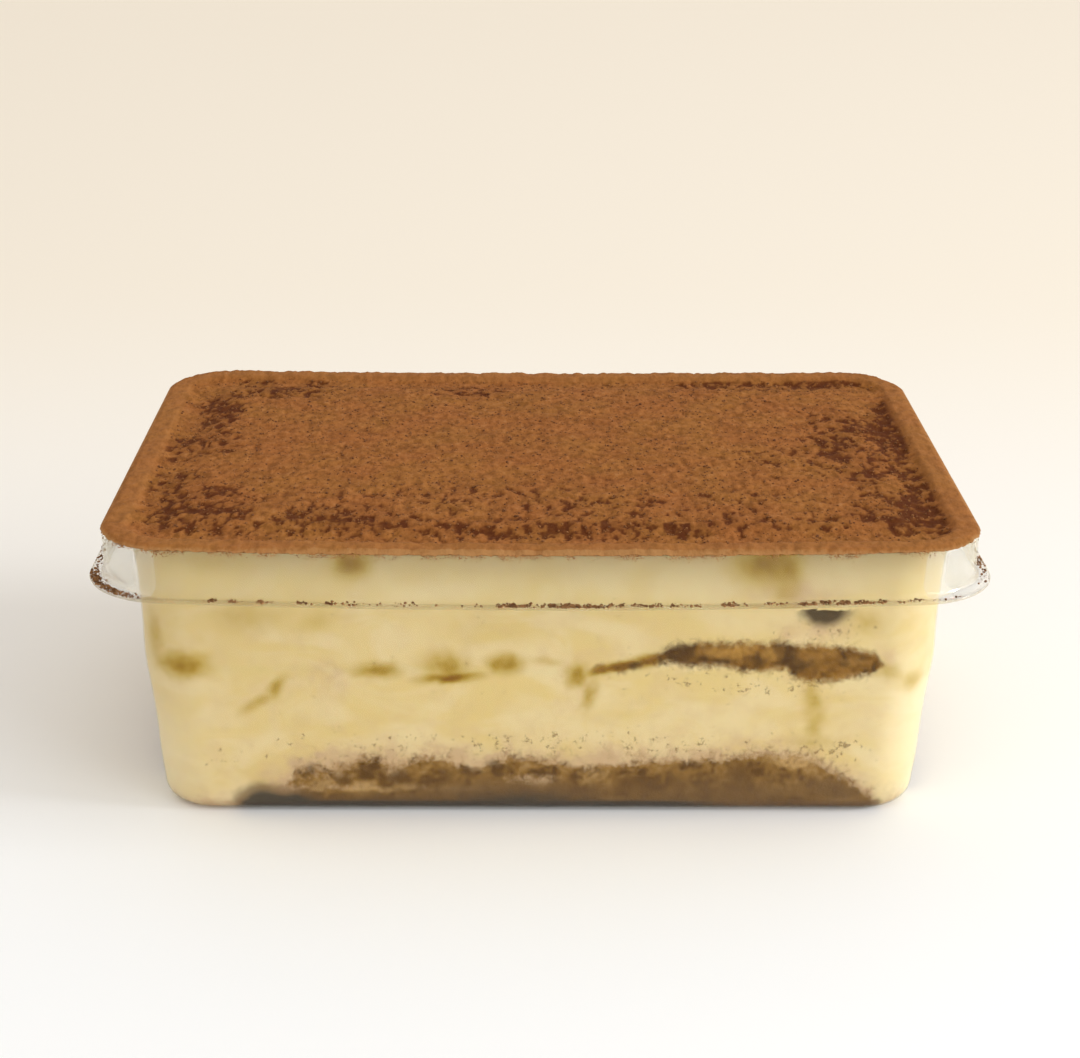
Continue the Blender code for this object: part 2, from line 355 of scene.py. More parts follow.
@dataclass(frozen=True)
class CreamTones:
    """Whipped mascarpone cream, smeared in pale and yellow streaks and stained by coffee, with painted shade
    below the brim and to the left and painted light low at either end.
    """

    pale: Colour = linear(232, 210, 158)
    yellow: Colour = linear(226, 200, 134)
    dull: Colour = linear(216, 188, 140)
    tea: Colour = linear(182, 149, 48)
    coffee: Colour = linear(130, 84, 10)
    # Painted shade: this tone darkens the cream below the brim and towards the left end
    painted_shade: Colour = linear(194, 170, 122)
    blush: Colour = linear(206, 174, 134)
    # Painted light: this tone lightens the cream low at either end
    painted_light: Colour = linear(246, 232, 196)
    deep: Colour = linear(62, 44, 18)
    smear: Grain = Grain(0.015, 4.0, 0.5, 0.8)
    smear_stretch: Triple = (1.0, 1.0, 1.7)
    smear_tilt: Triple = (0.0, 0.35, 0.0)
    smear_blend: Range = (0.34, 0.66)
    mottle: Grain = Grain(0.0040, 3.0, 0.6)
    mottle_blend: Range = (0.40, 0.74)
    splash: Grain = Grain(0.0024, 4.0, 0.6)
    blush_blend: Range = (0.0, 1.2)
    tea_blend: Range = (-0.10, 0.75)
    coffee_blend: Range = (0.40, 1.10)
    deep_blend: Range = (0.10, 1.30)
    dull_share: float = 0.4
    painted_light_share: float = 0.8
    painted_shade_share: float = 0.75
    deep_share: float = 0.95

    def colour(self, graph: Graph) -> Value:
        """Colour of the cream, with painted shade and painted light, tinged and stained as the mesh's
        attributes say.

        Args:
            graph: Node tree of the material.

        Returns:
            The colour.
        """
        tilted = graph.mapped(self.smear_stretch, self.smear_tilt)
        smears = graph.grain(self.smear, tilted).eased(*self.smear_blend)
        mottles = graph.grain(self.mottle).eased(*self.mottle_blend)
        colour = graph.mix(smears, self.pale, self.yellow)
        colour = graph.mix(mottles * self.dull_share, colour, self.dull)
        # Painted light low at the ends, then painted shade below the brim and to the left
        colour = graph.mix(graph.attribute("painted_light") * self.painted_light_share, colour, self.painted_light)
        colour = graph.mix(graph.attribute("painted_shade") * self.painted_shade_share, colour, self.painted_shade)
        blush = graph.attribute("blush") * (0.6 + 0.8 * mottles)
        colour = graph.mix(blush.eased(*self.blush_blend), colour, self.blush)
        stain = graph.attribute("coffee") * (0.55 + 0.9 * graph.grain(self.splash))
        colour = graph.mix(stain.eased(*self.tea_blend), colour, self.tea)
        colour = graph.mix(stain.eased(*self.coffee_blend), colour, self.coffee)
        deep = graph.attribute("core").eased(*self.deep_blend) * self.deep_share
        return graph.mix(deep, colour, self.deep)


@dataclass(frozen=True)
class SpongeTones:
    """Sponge finger soaked in coffee, in clumps, with painted shade in its pores."""

    dark: Colour
    middle: Colour
    pale: Colour
    clump: Grain
    clump_blend: Range = (0.38, 0.54)
    crest_blend: Range = (0.52, 0.70)
    crest_share: float = 0.5
    pore: float = 0.0014
    pore_blend: Range = (0.10, 0.70)
    pore_shade_share: float = 0.2
    grit: Grain = Grain(0.0010, 3.0, 0.7)
    grit_pale_blend: Range = (0.52, 0.76)
    grit_pale_share: float = 0.35
    grit_dark_blend: Range = (0.28, 0.52)
    grit_dark_share: float = 0.4
    mark_blend: Range = (0.0, 1.0)
    mark_share: float = 0.85

    def colour(self, graph: Graph) -> Value:
        """Colour of the sponge, pale or dark where the mesh's tan and core attributes say.

        Args:
            graph: Node tree of the material.

        Returns:
            The colour.
        """
        clumps = graph.grain(self.clump)
        pores = graph.cells(self.pore).eased(*self.pore_blend)
        grit = graph.grain(self.grit)
        colour = graph.mix(clumps.eased(*self.clump_blend), self.dark, self.middle)
        colour = graph.mix(clumps.eased(*self.crest_blend) * self.crest_share, colour, self.pale)
        tan = graph.attribute("tan") * (0.5 + grit)
        colour = graph.mix(tan.eased(*self.mark_blend) * self.mark_share, colour, self.pale)
        core = graph.attribute("core") * (0.4 + 1.2 * grit)
        colour = graph.mix(core.eased(*self.mark_blend) * self.mark_share, colour, self.dark)
        colour = graph.mix(grit.eased(*self.grit_pale_blend) * self.grit_pale_share, colour, self.pale)
        darkened = (1.0 - grit.eased(*self.grit_dark_blend)) * self.grit_dark_share
        colour = graph.mix(darkened, colour, self.dark)
        # Painted shade in the pores
        return graph.mix((1.0 - pores) * self.pore_shade_share, colour, self.dark)


@dataclass(frozen=True)
class Pressed:
    """Cream and sponge that a clear wall presses flat, speckled into each other where they meet."""

    cream: CreamTones = CreamTones()
    soaked: SpongeTones = SpongeTones(
        linear(92, 60, 15), linear(142, 104, 44), linear(192, 155, 98),
        Grain(0.0040, 5.0, 0.66, 0.3))
    coffee: SpongeTones = SpongeTones(
        linear(76, 47, 2), linear(129, 87, 18), linear(182, 135, 58),
        Grain(0.0044, 5.0, 0.66, 0.3))
    # Damp and wet tones darken the foot of the filling: partly soaked sponge, partly painted shade along the
    # tub's bottom
    damp: Colour = linear(110, 82, 50)
    wet_and_shade: Colour = linear(75, 67, 55)
    speck: Colour = linear(134, 104, 62)
    crumb: Grain = Grain(0.0014, 3.5, 0.62, 0.5)
    crumb_turn: Triple = (0.45, 0.65, 0.35)
    unevenness: float = 1.15
    middle_unevenness: float = 0.8
    wet_and_shade_unevenness: float = 0.2
    base_blend: Range = (0.16, 0.84)
    middle_blend: Range = (0.12, 0.80)
    dot: Grain = Grain(0.0013, 2.0, 0.6)
    dot_cloud: Grain = Grain(0.0040, 2.0)
    dot_gain: float = 0.16
    dot_blend: Range = (0.70, 0.86)
    dot_share: float = 0.7
    damp_blend: Range = (0.0, 0.55)
    damp_share: float = 0.8
    wet_and_shade_blend: Range = (0.50, 1.0)
    wet_and_shade_share: float = 0.95
    relief: float = 0.0004
    relief_strength: float = 0.5
    roughness: float = 0.45
    softness: float = 0.10
    soft_depth: float = 0.0012
    sheen: float = 0.15

    def material(self, name: str) -> bpy.types.Material:
        """Build the material.

        Args:
            name: Name of the material.

        Returns:
            The look that every layer shares, told by what the mesh holds at each point.
        """
        graph = Graph(name)
        turned = graph.mapped((1.0, 1.0, 1.0), self.crumb_turn)
        crumbs = graph.grain(self.crumb, turned)
        uneven = (crumbs - 0.5) * self.unevenness
        base = (graph.attribute("base") + uneven).eased(*self.base_blend)
        middle = (graph.attribute("middle") + uneven * self.middle_unevenness).eased(*self.middle_blend)
        wet_and_shade = graph.attribute("wet_and_shade") + uneven * self.wet_and_shade_unevenness
        scattered = graph.attribute("speck") * (0.3 + 1.4 * graph.grain(self.dot_cloud))
        dots = (graph.grain(self.dot) + scattered * self.dot_gain).eased(*self.dot_blend)
        colour = graph.mix(dots * self.dot_share, self.cream.colour(graph), self.speck)
        colour = graph.mix(base, colour, self.soaked.colour(graph))
        colour = graph.mix(middle, colour, self.coffee.colour(graph))
        # Soaking and painted shade at the foot
        colour = graph.mix(wet_and_shade.eased(*self.damp_blend) * self.damp_share, colour, self.damp)
        colour = graph.mix(wet_and_shade.eased(*self.wet_and_shade_blend) * self.wet_and_shade_share, colour, self.wet_and_shade)
        normal = graph.bump(crumbs * base.larger(middle), self.relief, self.relief_strength)
        shader = graph.principled(
            Base_Color=colour, Roughness=self.roughness, Normal=normal, Specular_IOR_Level=self.sheen,
            Subsurface_Weight=self.softness, Subsurface_Scale=self.soft_depth)
        return graph.finish(shader)


@dataclass(frozen=True)
class Cocoa:
    """Sifted cocoa, dry and light on the rim, with damp dark specks where cream came through, and grains
    with painted shade in their dips and painted highlights on their crests.
    """

    # Grain tones; besides their own colour, the light tone paints highlights on the grains' crests and the
    # shade tone painted shade in their dips
    light: Colour = linear(188, 132, 80)
    middle: Colour = linear(158, 100, 48)
    shade: Colour = linear(125, 76, 31)
    damp: Colour = linear(80, 34, 6)
    dry: Colour = linear(160, 108, 58)
    ruddy: Colour = linear(156, 88, 46)
    golden: Colour = linear(156, 108, 44)
    thin: Colour = linear(178, 134, 84)
    flattening: Triple = (1.0, 0.55, 1.0)
    grain: Grain = Grain(0.0014, 4.0, 0.62)
    grain_blend: Range = (0.34, 0.58)
    crest_blend: Range = (0.56, 0.76)
    crest_share: float = 0.7
    tuft: Grain = Grain(0.0042, 3.0, 0.6)
    tuft_blend: Range = (0.44, 0.68)
    tuft_share: float = 0.35
    drift: Grain = Grain(0.013)
    ruddy_blend: Range = (0.44, 0.66)
    golden_blend: Range = (0.34, 0.52)
    drift_share: float = 0.2
    dry_share: float = 0.35
    gloom_share: float = 0.6
    damp_unevenness: float = 1.5
    damp_blend: Range = (0.05, 1.20)
    damp_share: float = 0.94
    thin_blend: Range = (0.3, 1.1)
    thin_share: float = 0.6
    fine: Grain = Grain(0.00035, 3.0, 0.7)
    fine_share: float = 0.3
    relief: float = 0.00045
    relief_strength: float = 0.9
    roughness: float = 0.95
    sheen: float = 0.12

    def material(self) -> bpy.types.Material:
        """Build the material.

        Returns:
            The cocoa, damp, gloomy, dry or thin where the mesh's attributes say.
        """
        graph = Graph("cocoa_powder")
        deep = graph.mapped(self.flattening)
        grains = graph.grain(self.grain, deep)
        tufts = graph.grain(self.tuft, deep)
        drifts = graph.grain(self.drift)
        # The noise that lifts the relief also colours it: painted shade in the dips, painted highlights on
        # the crests
        colour = graph.mix(grains.eased(*self.grain_blend), self.shade, self.middle)
        colour = graph.mix(grains.eased(*self.crest_blend) * self.crest_share, colour, self.light)
        colour = graph.mix(drifts.eased(*self.ruddy_blend) * self.drift_share, colour, self.ruddy)
        golden = (1.0 - drifts.eased(*self.golden_blend)) * self.drift_share
        colour = graph.mix(golden, colour, self.golden)
        colour = graph.mix(tufts.eased(*self.tuft_blend) * self.tuft_share, colour, self.shade)
        colour = graph.mix(graph.attribute("dry") * self.dry_share, colour, self.dry)
        colour = graph.mix(graph.attribute("gloom") * self.gloom_share, colour, self.shade)
        damp = graph.attribute("damp") + (grains - 0.5) * self.damp_unevenness
        colour = graph.mix(damp.eased(*self.damp_blend) * self.damp_share, colour, self.damp)
        thin = (graph.attribute("thin") + (tufts - 0.5) + (grains - 0.5)).eased(*self.thin_blend)
        colour = graph.mix(thin * self.thin_share, colour, self.thin)
        height = grains * (1.0 - self.fine_share) + graph.grain(self.fine) * self.fine_share
        normal = graph.bump(height, self.relief, self.relief_strength)
        shader = graph.principled(Base_Color=colour, Roughness=self.roughness, Normal=normal,
                                  Specular_IOR_Level=self.sheen)
        return graph.finish(shader)


@dataclass(frozen=True)
class Crumb:
    """Crumbs and grains too small for a pattern of their own: two tones from place to place."""

    name: str
    light: Colour
    dark: Colour
    tone: Grain = Grain(0.0014, 3.0, 0.6)
    tone_blend: Range = (0.35, 0.65)
    fine: Grain = Grain(0.0002, 2.0)
    relief: float = 0.00008
    roughness: float = 0.85
    sheen: float = 0.25

    def material(self) -> bpy.types.Material:
        """Build the material.

        Returns:
            Two tones from place to place.
        """
        graph = Graph(self.name)
        share = graph.grain(self.tone).eased(*self.tone_blend)
        normal = graph.bump(graph.grain(self.fine), self.relief)
        colour = graph.mix(share, self.dark, self.light)
        shader = graph.principled(Base_Color=colour, Roughness=self.roughness, Normal=normal,
                                  Specular_IOR_Level=self.sheen)
        return graph.finish(shader)


@dataclass(frozen=True)
class FloorFinish:
    """Plain pale matt floor, a little warmer and darker towards its back, where warm light bounced from the
    room is painted into its colour.
    """

    front: Colour = linear(247, 249, 248)
    # Painted light: the back tone stands in for warm light bounced from the room behind
    back: Colour = linear(243, 235, 218)
    from_y: float = -0.14
    to_y: float = 0.42
    roughness: float = 0.75
    sheen: float = 0.3

    def material(self) -> bpy.types.Material:
        """Build the material.

        Returns:
            Matt paint that runs from one tone to the other.
        """
        graph = Graph("pale_floor")
        across = graph.node("ShaderNodeSeparateXYZ", None, [graph.place], out="Y")
        tone = graph.mix(across.eased(self.from_y, self.to_y), self.front, self.back)
        shader = graph.principled(Base_Color=tone, Roughness=self.roughness, Specular_IOR_Level=self.sheen)
        return graph.finish(shader)


@dataclass(frozen=True)
class RingPattern:
    """Shares that place the points of every rounded rectangle that has the same steps.

    A point is its corner's centre, by a share, plus the corner radius in its outward direction.
    """

    centre_x: Points
    centre_y: Points
    out_x: Points
    out_y: Points

    @classmethod
    def stepped(cls, corner: int, long: int, short: int) -> "RingPattern":
        """Pattern of a ring with even steps.

        Args:
            corner: Steps round a corner.
            long: Steps along a long side.
            short: Steps along a short one.

        Returns:
            The pattern, anticlockwise from the front right corner.
        """
        rows = []
        signs = ((1, -1), (1, 1), (-1, 1), (-1, -1))
        for quarter, (sign_x, sign_y) in enumerate(signs):
            for step in range(corner + 1):
                angle = math.radians(90 * (quarter - 1 + step / corner))
                rows.append((sign_x, sign_y, math.cos(angle), math.sin(angle)))
            side_steps = short if quarter % 2 == 0 else long
            for step in range(1, side_steps):
                share = 1 - 2 * step / side_steps
                if quarter % 2 == 0:
                    rows.append((sign_x, sign_y * share, sign_x, 0.0))
                else:
                    rows.append((sign_x * share, sign_y, 0.0, sign_y))
        return cls(*np.array(rows, dtype=float).T)

    @classmethod
    def squared(cls, long: int, short: int, ring: int) -> "RingPattern":
        """Pattern of one ring of a grid of squares, whose corners are rounded by angle alone.

        Args:
            long: Squares along the grid.
            short: Squares across the grid.
            ring: Number of the ring, from the outside.

        Returns:
            Shares along the sides; the grid's own rounding turns them into corners.
        """
        x = np.linspace(-1, 1, long - 2 * ring + 1)
        y = np.linspace(-1, 1, short - 2 * ring + 1)
        front = np.stack([x, -np.ones_like(x)], 1)[:-1]
        right = np.stack([np.ones_like(y), y], 1)[:-1]
        return cls(*np.concatenate([front, right, -front, -right]).T, np.array(0), np.array(0))


@dataclass(frozen=True)
class TubForm:
    """Measured form of the tub and of the space in it."""

    length: float
    width: float
    height: float
    rim_corner: float = 0.0145
    rim_band: float = 0.0050
    rim_outer_round: float = 0.0010
    rim_inner_round: float = 0.0008
    sheet: float = 0.0007
    flange_reach: float = 0.00285
    flange_top: float = 0.0515
    flange_round: float = 0.0012
    body_corner: float = 0.0115
    foot_round: float = 0.0036
    least_corner: float = 0.0040
    bow: float = 0.0008
    sag: float = 0.0006
    flange_sag: float = 0.0007
    flange_sag_reach: float = 0.0050
    lift: float = 0.0004
    wall_heights: tuple[float, ...] = (0.0036, 0.009, 0.017, 0.0225, 0.029, 0.0325, 0.0405, 0.0515, 0.059)
    wall_insets: tuple[float, ...] = (0.0089, 0.0083, 0.0079, 0.0075, 0.0068, 0.0064, 0.0064, 0.0059, 0.0051)
    wall_ease: float = 0.0016
    ease_steps: tuple[float, ...] = (-1.5, -0.75, 0.0, 0.75, 1.5)

    @classmethod
    def from_frame(cls) -> "TubForm":
        """Form with the overall length and width of the tub's solid, and its rim a little higher.

        Returns:
            The form.
        """
        low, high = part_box("tub")
        reach = 2 * cls.flange_reach
        bow = 2 * cls.bow * cls.flange_top / high[2]
        return cls(high[0] - low[0] - reach, high[1] - low[1] - reach - bow, high[2] + cls.lift)

    def settled(self, x: Points, y: Points, z: Points) -> Points:
        """Bow the long sides outwards and let their rim sag.

        Args:
            x: Places along the tub.
            y: Places across it.
            z: Heights.

        Returns:
            The settled places, with their three numbers on the last axis.
        """
        reach = self.length / 2 - self.rim_corner
        x, y, z = np.broadcast_arrays(x, y, z)
        along = np.clip(1 - (x / reach) ** 2, 0, None)
        outwards = y / (self.width / 2)
        up = z / self.height
        bowed = y + self.bow * along * outwards * up
        from_flange = (z - self.flange_top) / self.flange_sag_reach
        sag = self.sag + self.flange_sag * np.exp(-from_flange ** 2)
        return np.stack([x, bowed, z - sag * along * (outwards * up) ** 2], -1)

    def ring(self, pattern: RingPattern, inset: Points, z: Points, corner: Points) -> Points:
        """Settled points of a ring, or of several rows of one.

        Args:
            pattern: Pattern of the ring's points.
            inset: Inset from the rim's outline.
            z: Height.
            corner: Corner radius.

        Returns:
            The points.
        """
        x = pattern.centre_x * (self.length / 2 - inset - corner) + pattern.out_x * corner
        y = pattern.centre_y * (self.width / 2 - inset - corner) + pattern.out_y * corner
        return self.settled(x, y, z)

    def wall_inset(self, z: Points, depth: float) -> Points:
        """Inset of the surface that lies at a depth inside the wall's outer face.

        Args:
            z: Heights.
            depth: Depth from the outer face.

        Returns:
            An inset for each height.
        """
        z = np.asarray(z, dtype=float)
        eased = [np.interp(z + shift * self.wall_ease, self.wall_heights, self.wall_insets)
                 for shift in self.ease_steps]
        wall = np.mean(eased, axis=0) + depth
        radius = self.foot_round - depth
        below = np.clip(self.foot_round - z, 0, radius)
        return wall + radius - np.sqrt(radius ** 2 - below ** 2)

    def corner_at(self, inset: Points, depth: float) -> Points:
        """Corner radius of the body at an inset, for a surface at a depth."""
        round_the_foot = np.clip(inset - depth - self.wall_insets[0], 0, None)
        return np.clip(self.body_corner - depth - round_the_foot, self.least_corner, None)


def arc(inset: float, z: float, radius: float, start: float, end: float, steps: int) -> Points:
    """Points of a section's round.

    Args:
        inset: Inset of the round's centre.
        z: Height of the round's centre.
        radius: Radius.
        start: First angle in degrees, from the outward side.
        end: Last angle.
        steps: Number of steps.

    Returns:
        Insets and heights, one pair to a row.
    """
    angles = np.radians(np.linspace(start, end, steps + 1))
    return np.stack([inset - radius * np.cos(angles), z + radius * np.sin(angles)], 1)


def run(start: Sequence[float], end: Sequence[float], steps: int) -> Points:
    """Points of a straight stretch of a section, without its ends."""
    shares = np.linspace(0, 1, steps + 1)[1:-1, None]
    return np.asarray(start) * (1 - shares) + np.asarray(end) * shares


def ring_faces(rings: int, count: int) -> list[tuple[int, ...]]:
    """Quads between rings that follow each other.

    Args:
        rings: Number of rings.
        count: Points to a ring.

    Returns:
        The quads, as numbers of points.
    """
    base = np.arange(rings - 1)[:, None] * count
    step = np.arange(count)[None, :]
    following = (step + 1) % count
    quads = np.stack([base + step, base + following, base + count + following, base + count + step], -1)
    return quads.reshape(-1, 4).tolist()


def fan(first: int, count: int, tip: int) -> list[tuple[int, ...]]:
    """Triangles from a ring to one point."""
    return [(first + step, first + (step + 1) % count, tip) for step in range(count)]


def closed_faces(rings: int, count: int) -> list[tuple[int, ...]]:
    """Quads between rings, and triangles that close both ends with a point each.

    Args:
        rings: Number of rings.
        count: Points to a ring.

    Returns:
        The faces; the two closing points follow those of the rings.
    """
    total = rings * count
    start = [triangle[::-1] for triangle in fan(0, count, total)]
    return ring_faces(rings, count) + start + fan(total - count, count, total + 1)


def make_piece(name: str, points: Points, faces: Sequence[Sequence[int]], material: bpy.types.Material,
               numbers: dict[str, Points] | None = None, crease: float = 40.0) -> bpy.types.Object:
    """Object of a closed mesh, with its faces turned outwards.

    Args:
        name: Name of the object and its mesh.
        points: Places of the mesh's points.
        faces: Numbers of the points of each face, wound alike all over.
        material: Finish.
        numbers: Numbers that the mesh holds at each point, by name.
        crease: Angle in degrees past which an edge is sharp.

    Returns:
        The object, in the scene.
    """
    points = np.asarray(points).reshape(-1, 3)
    corners = np.array([face[:3] for face in faces] + [(f[0], f[2], f[3]) for f in faces if len(f) == 4])
    a, b, c = (points[corners[:, k]] for k in range(3))
    inside_out = np.einsum("ij,ij->", a, np.cross(b, c)) < 0
    wound = [tuple(reversed(face)) for face in faces] if inside_out else faces
    mesh = bpy.data.meshes.new(name)
    mesh.from_pydata(points.tolist(), [], wound)
    mesh.shade_smooth()
    mesh.set_sharp_from_angle(angle=math.radians(crease))
    for key, values in (numbers or {}).items():
        held = mesh.attributes.new(key, "FLOAT", "POINT")
        held.data.foreach_set("value", np.asarray(values, dtype=np.float32).ravel())
    mesh.materials.append(material)
    piece = bpy.data.objects.new(name, mesh)
    bpy.context.scene.collection.objects.link(piece)
    return piece


def settle_piece(piece: bpy.types.Object, slot: str, *nodes: str) -> None:
    """Let a piece ride on the body, and hide the solids that it stands for.

    Args:
        piece: The piece.
        slot: Material slot of the record; not used.
        *nodes: Solids that the piece replaces.
    """
    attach(piece, BODY)
    if nodes:
        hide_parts(*nodes)
    LOG.info("%s: %d faces", piece.name, len(piece.data.polygons))


@dataclass
class Tub:
    """The tub: one clear sheet from its flat bottom up over the hollow rim to the flange."""

    form: TubForm
    finish: ClearPlastic = ClearPlastic()
    corner_steps: int = 22
    long_steps: int = 64
    short_steps: int = 44
    wall_step: float = 0.0016
    round_steps: int = 7
    band_steps: int = 8
    bend: float = 0.0005
    bend_steps: int = 3
    below_rim: float = 0.0022

    def body_section(self, depth: float) -> Points:
        """Section of the bottom's round and the wall, upwards, for one face of the sheet.

        Args:
            depth: Depth of the face below the outer one.

        Returns:
            Insets and heights, one pair to a row.
        """
        form = self.form
        foot = form.foot_round
        radius = foot - depth
        rise = np.linspace(0, 90, 2 * self.round_steps)
        low_z = foot - radius * np.cos(np.radians(rise))
        high_z = np.arange(foot + self.wall_step, form.height - self.below_rim, self.wall_step)
        z = np.concatenate([low_z, high_z])
        return np.stack([form.wall_inset(z, depth), z], 1)

    def rim_section(self) -> Points:
        """Section of the rim and the flange, from the wall's outer face to its inner face.

        Returns:
            Insets and heights, one pair to a row.
        """
        form, steps, bend = self.form, self.round_steps, self.bend
        sheet = form.sheet
        roof = form.height - sheet
        foot = form.flange_top - sheet
        fillet = form.flange_round
        under = fillet + sheet
        outer, inner = form.rim_outer_round, form.rim_inner_round
        return np.concatenate([
            arc(form.rim_band - sheet - bend, roof - bend, bend, 180, 90, self.bend_steps),
            arc(sheet + bend, roof - bend, bend, 90, 0, self.bend_steps),
            run((sheet, roof), (sheet, foot + under), self.band_steps),
            arc(sheet - under, foot + under, under, 180, 270, steps),
            arc(sheet / 2 - form.flange_reach, foot + sheet / 2, sheet / 2, -90, 90, steps),
            arc(-fillet, form.flange_top + fillet, fillet, 270, 180, steps),
            run((0.0, form.flange_top + fillet), (0.0, form.height - outer), self.band_steps),
            arc(outer, form.height - outer, outer, 0, 90, steps),
            arc(form.rim_band - inner, form.height - inner, inner, 90, 180, steps),
        ])

    def build(self) -> None:
        """Build the sheet and dress it."""
        form = self.form
        pattern = RingPattern.stepped(self.corner_steps, self.long_steps, self.short_steps)
        rings = []
        for depth, way in ((0.0, 1), (form.sheet, -1)):
            section = self.body_section(depth)[::way]
            part = [form.ring(pattern, inset, z, form.corner_at(inset, depth)) for inset, z in section]
            rings.append(part)
        rim = [form.ring(pattern, inset, z, form.rim_corner - inset) for inset, z in self.rim_section()]
        stack = np.array(rings[0] + rim + rings[1])
        faces = closed_faces(*stack.shape[:2])
        points = np.concatenate([stack.reshape(-1, 3), [(0.0, 0.0, 0.0), (0.0, 0.0, form.sheet)]])
        piece = make_piece("tub_sheet", points, faces, self.finish.material())
        settle_piece(piece, "clear_plastic", "tub")


@dataclass(frozen=True)
class Patch:
    """Place where the middle sponge is pressed against the wall."""

    x: float
    y: float
    half_length: float
    rise: float
    drop: float


@dataclass(frozen=True)
class CreamCorner:
    """Place where cream runs down past the base sponge, and hides it where enough of it has."""

    x: float
    y: float
    bare_reach: float
    slope_reach: float
    hides_from: float


@dataclass(frozen=True)
class Mark:
    """Oval mark on one side of the filling, such as a coffee stain."""

    side: Side
    along: float
    height: float
    half_along: float
    half_height: float
    strength: float
    tilt: float = 0.0
    top: float = 1.0

    def at(self, along: Points, height: Points) -> Points:
        """Strength of the mark at places on its side of the wall.

        Args:
            along: Places along the side.
            height: Their heights.

        Returns:
            Strengths, from 0 outside the mark.
        """
        turn = math.radians(self.tilt)
        right, up = along - self.along, height - self.height
        level = right * math.cos(turn) + up * math.sin(turn)
        rising = up * math.cos(turn) - right * math.sin(turn)
        away = np.hypot(level / self.half_along, rising / self.half_height)
        return self.strength * (1.0 - smooth_step(0.0, 1.0, away)) * (height < self.top)


def marks_on(side: Side, *rows: Sequence[float]) -> tuple[Mark, ...]:
    """Marks of one side, each from its numbers in the order of a mark's fields."""
    return tuple(Mark(side, *row) for row in rows)


@dataclass(frozen=True)
class Station:
    """Foot and top of a band of sponge as it shows through the front wall."""

    x: float
    foot: float
    top: float


# The middle sponge and the base as the front wall shows them
FRONT_MIDDLE = tuple(Station(*row) for row in (
    (0.005, 0.037, 0.029), (0.011, 0.0328, 0.0334), (0.0155, 0.0334, 0.0342), (0.0187, 0.0334, 0.035),
    (0.0206, 0.0344, 0.0352), (0.0232, 0.0348, 0.0366), (0.026, 0.0348, 0.038), (0.029, 0.0342, 0.0388),
    (0.037, 0.0344, 0.039), (0.04, 0.033, 0.0389), (0.046, 0.0334, 0.039), (0.0495, 0.0328, 0.0388),
    (0.052, 0.0312, 0.0384), (0.056, 0.0304, 0.0382), (0.0605, 0.0312, 0.0376), (0.064, 0.0322, 0.0374),
    (0.0668, 0.0334, 0.0362), (0.07, 0.037, 0.032),
))
FRONT_BASE = tuple(Station(x, 0.0, top) for x, top in (
    (-0.0572, 0.001), (-0.0512, 0.0112), (-0.046, 0.0122), (-0.0405, 0.0122), (-0.0365, 0.0134),
    (-0.03, 0.0124), (-0.0223, 0.0132), (-0.0132, 0.0118), (-0.006, 0.013), (0.0051, 0.012),
    (0.0142, 0.0126), (0.0203, 0.0122), (0.0294, 0.0128), (0.0385, 0.013), (0.047, 0.014),
    (0.054, 0.0135), (0.058, 0.0122), (0.0629, 0.0092), (0.0662, 0.0068), (0.0697, 0.004),
    (0.0725, -0.001),
))
# Where the middle sponge reaches the wall, and where cream covers the base
PATCHES = tuple(Patch(*row) for row in (
    (0.028, -0.055, 0.015, 0.005, 0.0004), (0.043, -0.055, 0.02, 0.0058, 0.0008),
    (0.056, -0.055, 0.012, 0.005, 0.003), (-0.072, -0.052, 0.008, 0.0022, 0.0018),
    (0.0805, 0.01, 0.02, 0.0044, 0.0022), (0.0805, -0.026, 0.009, 0.002, 0.0016),
    (0.048, 0.055, 0.014, 0.004, 0.0014), (-0.006, 0.055, 0.024, 0.0054, 0.0026),
    (-0.056, 0.055, 0.01, 0.003, 0.002), (-0.0805, 0.018, 0.015, 0.0046, 0.0016),
    (-0.0805, -0.016, 0.011, 0.0024, 0.0022),
))
CREAM_CORNERS = tuple(CreamCorner(*row) for row in (
    (-0.078, -0.052, 0.014, 0.029, 0.45), (0.078, -0.05, 0.006, 0.025, 0.86),
    (0.078, 0.05, 0.008, 0.024, 0.7), (-0.06, 0.052, 0.006, 0.018, 0.6),
))
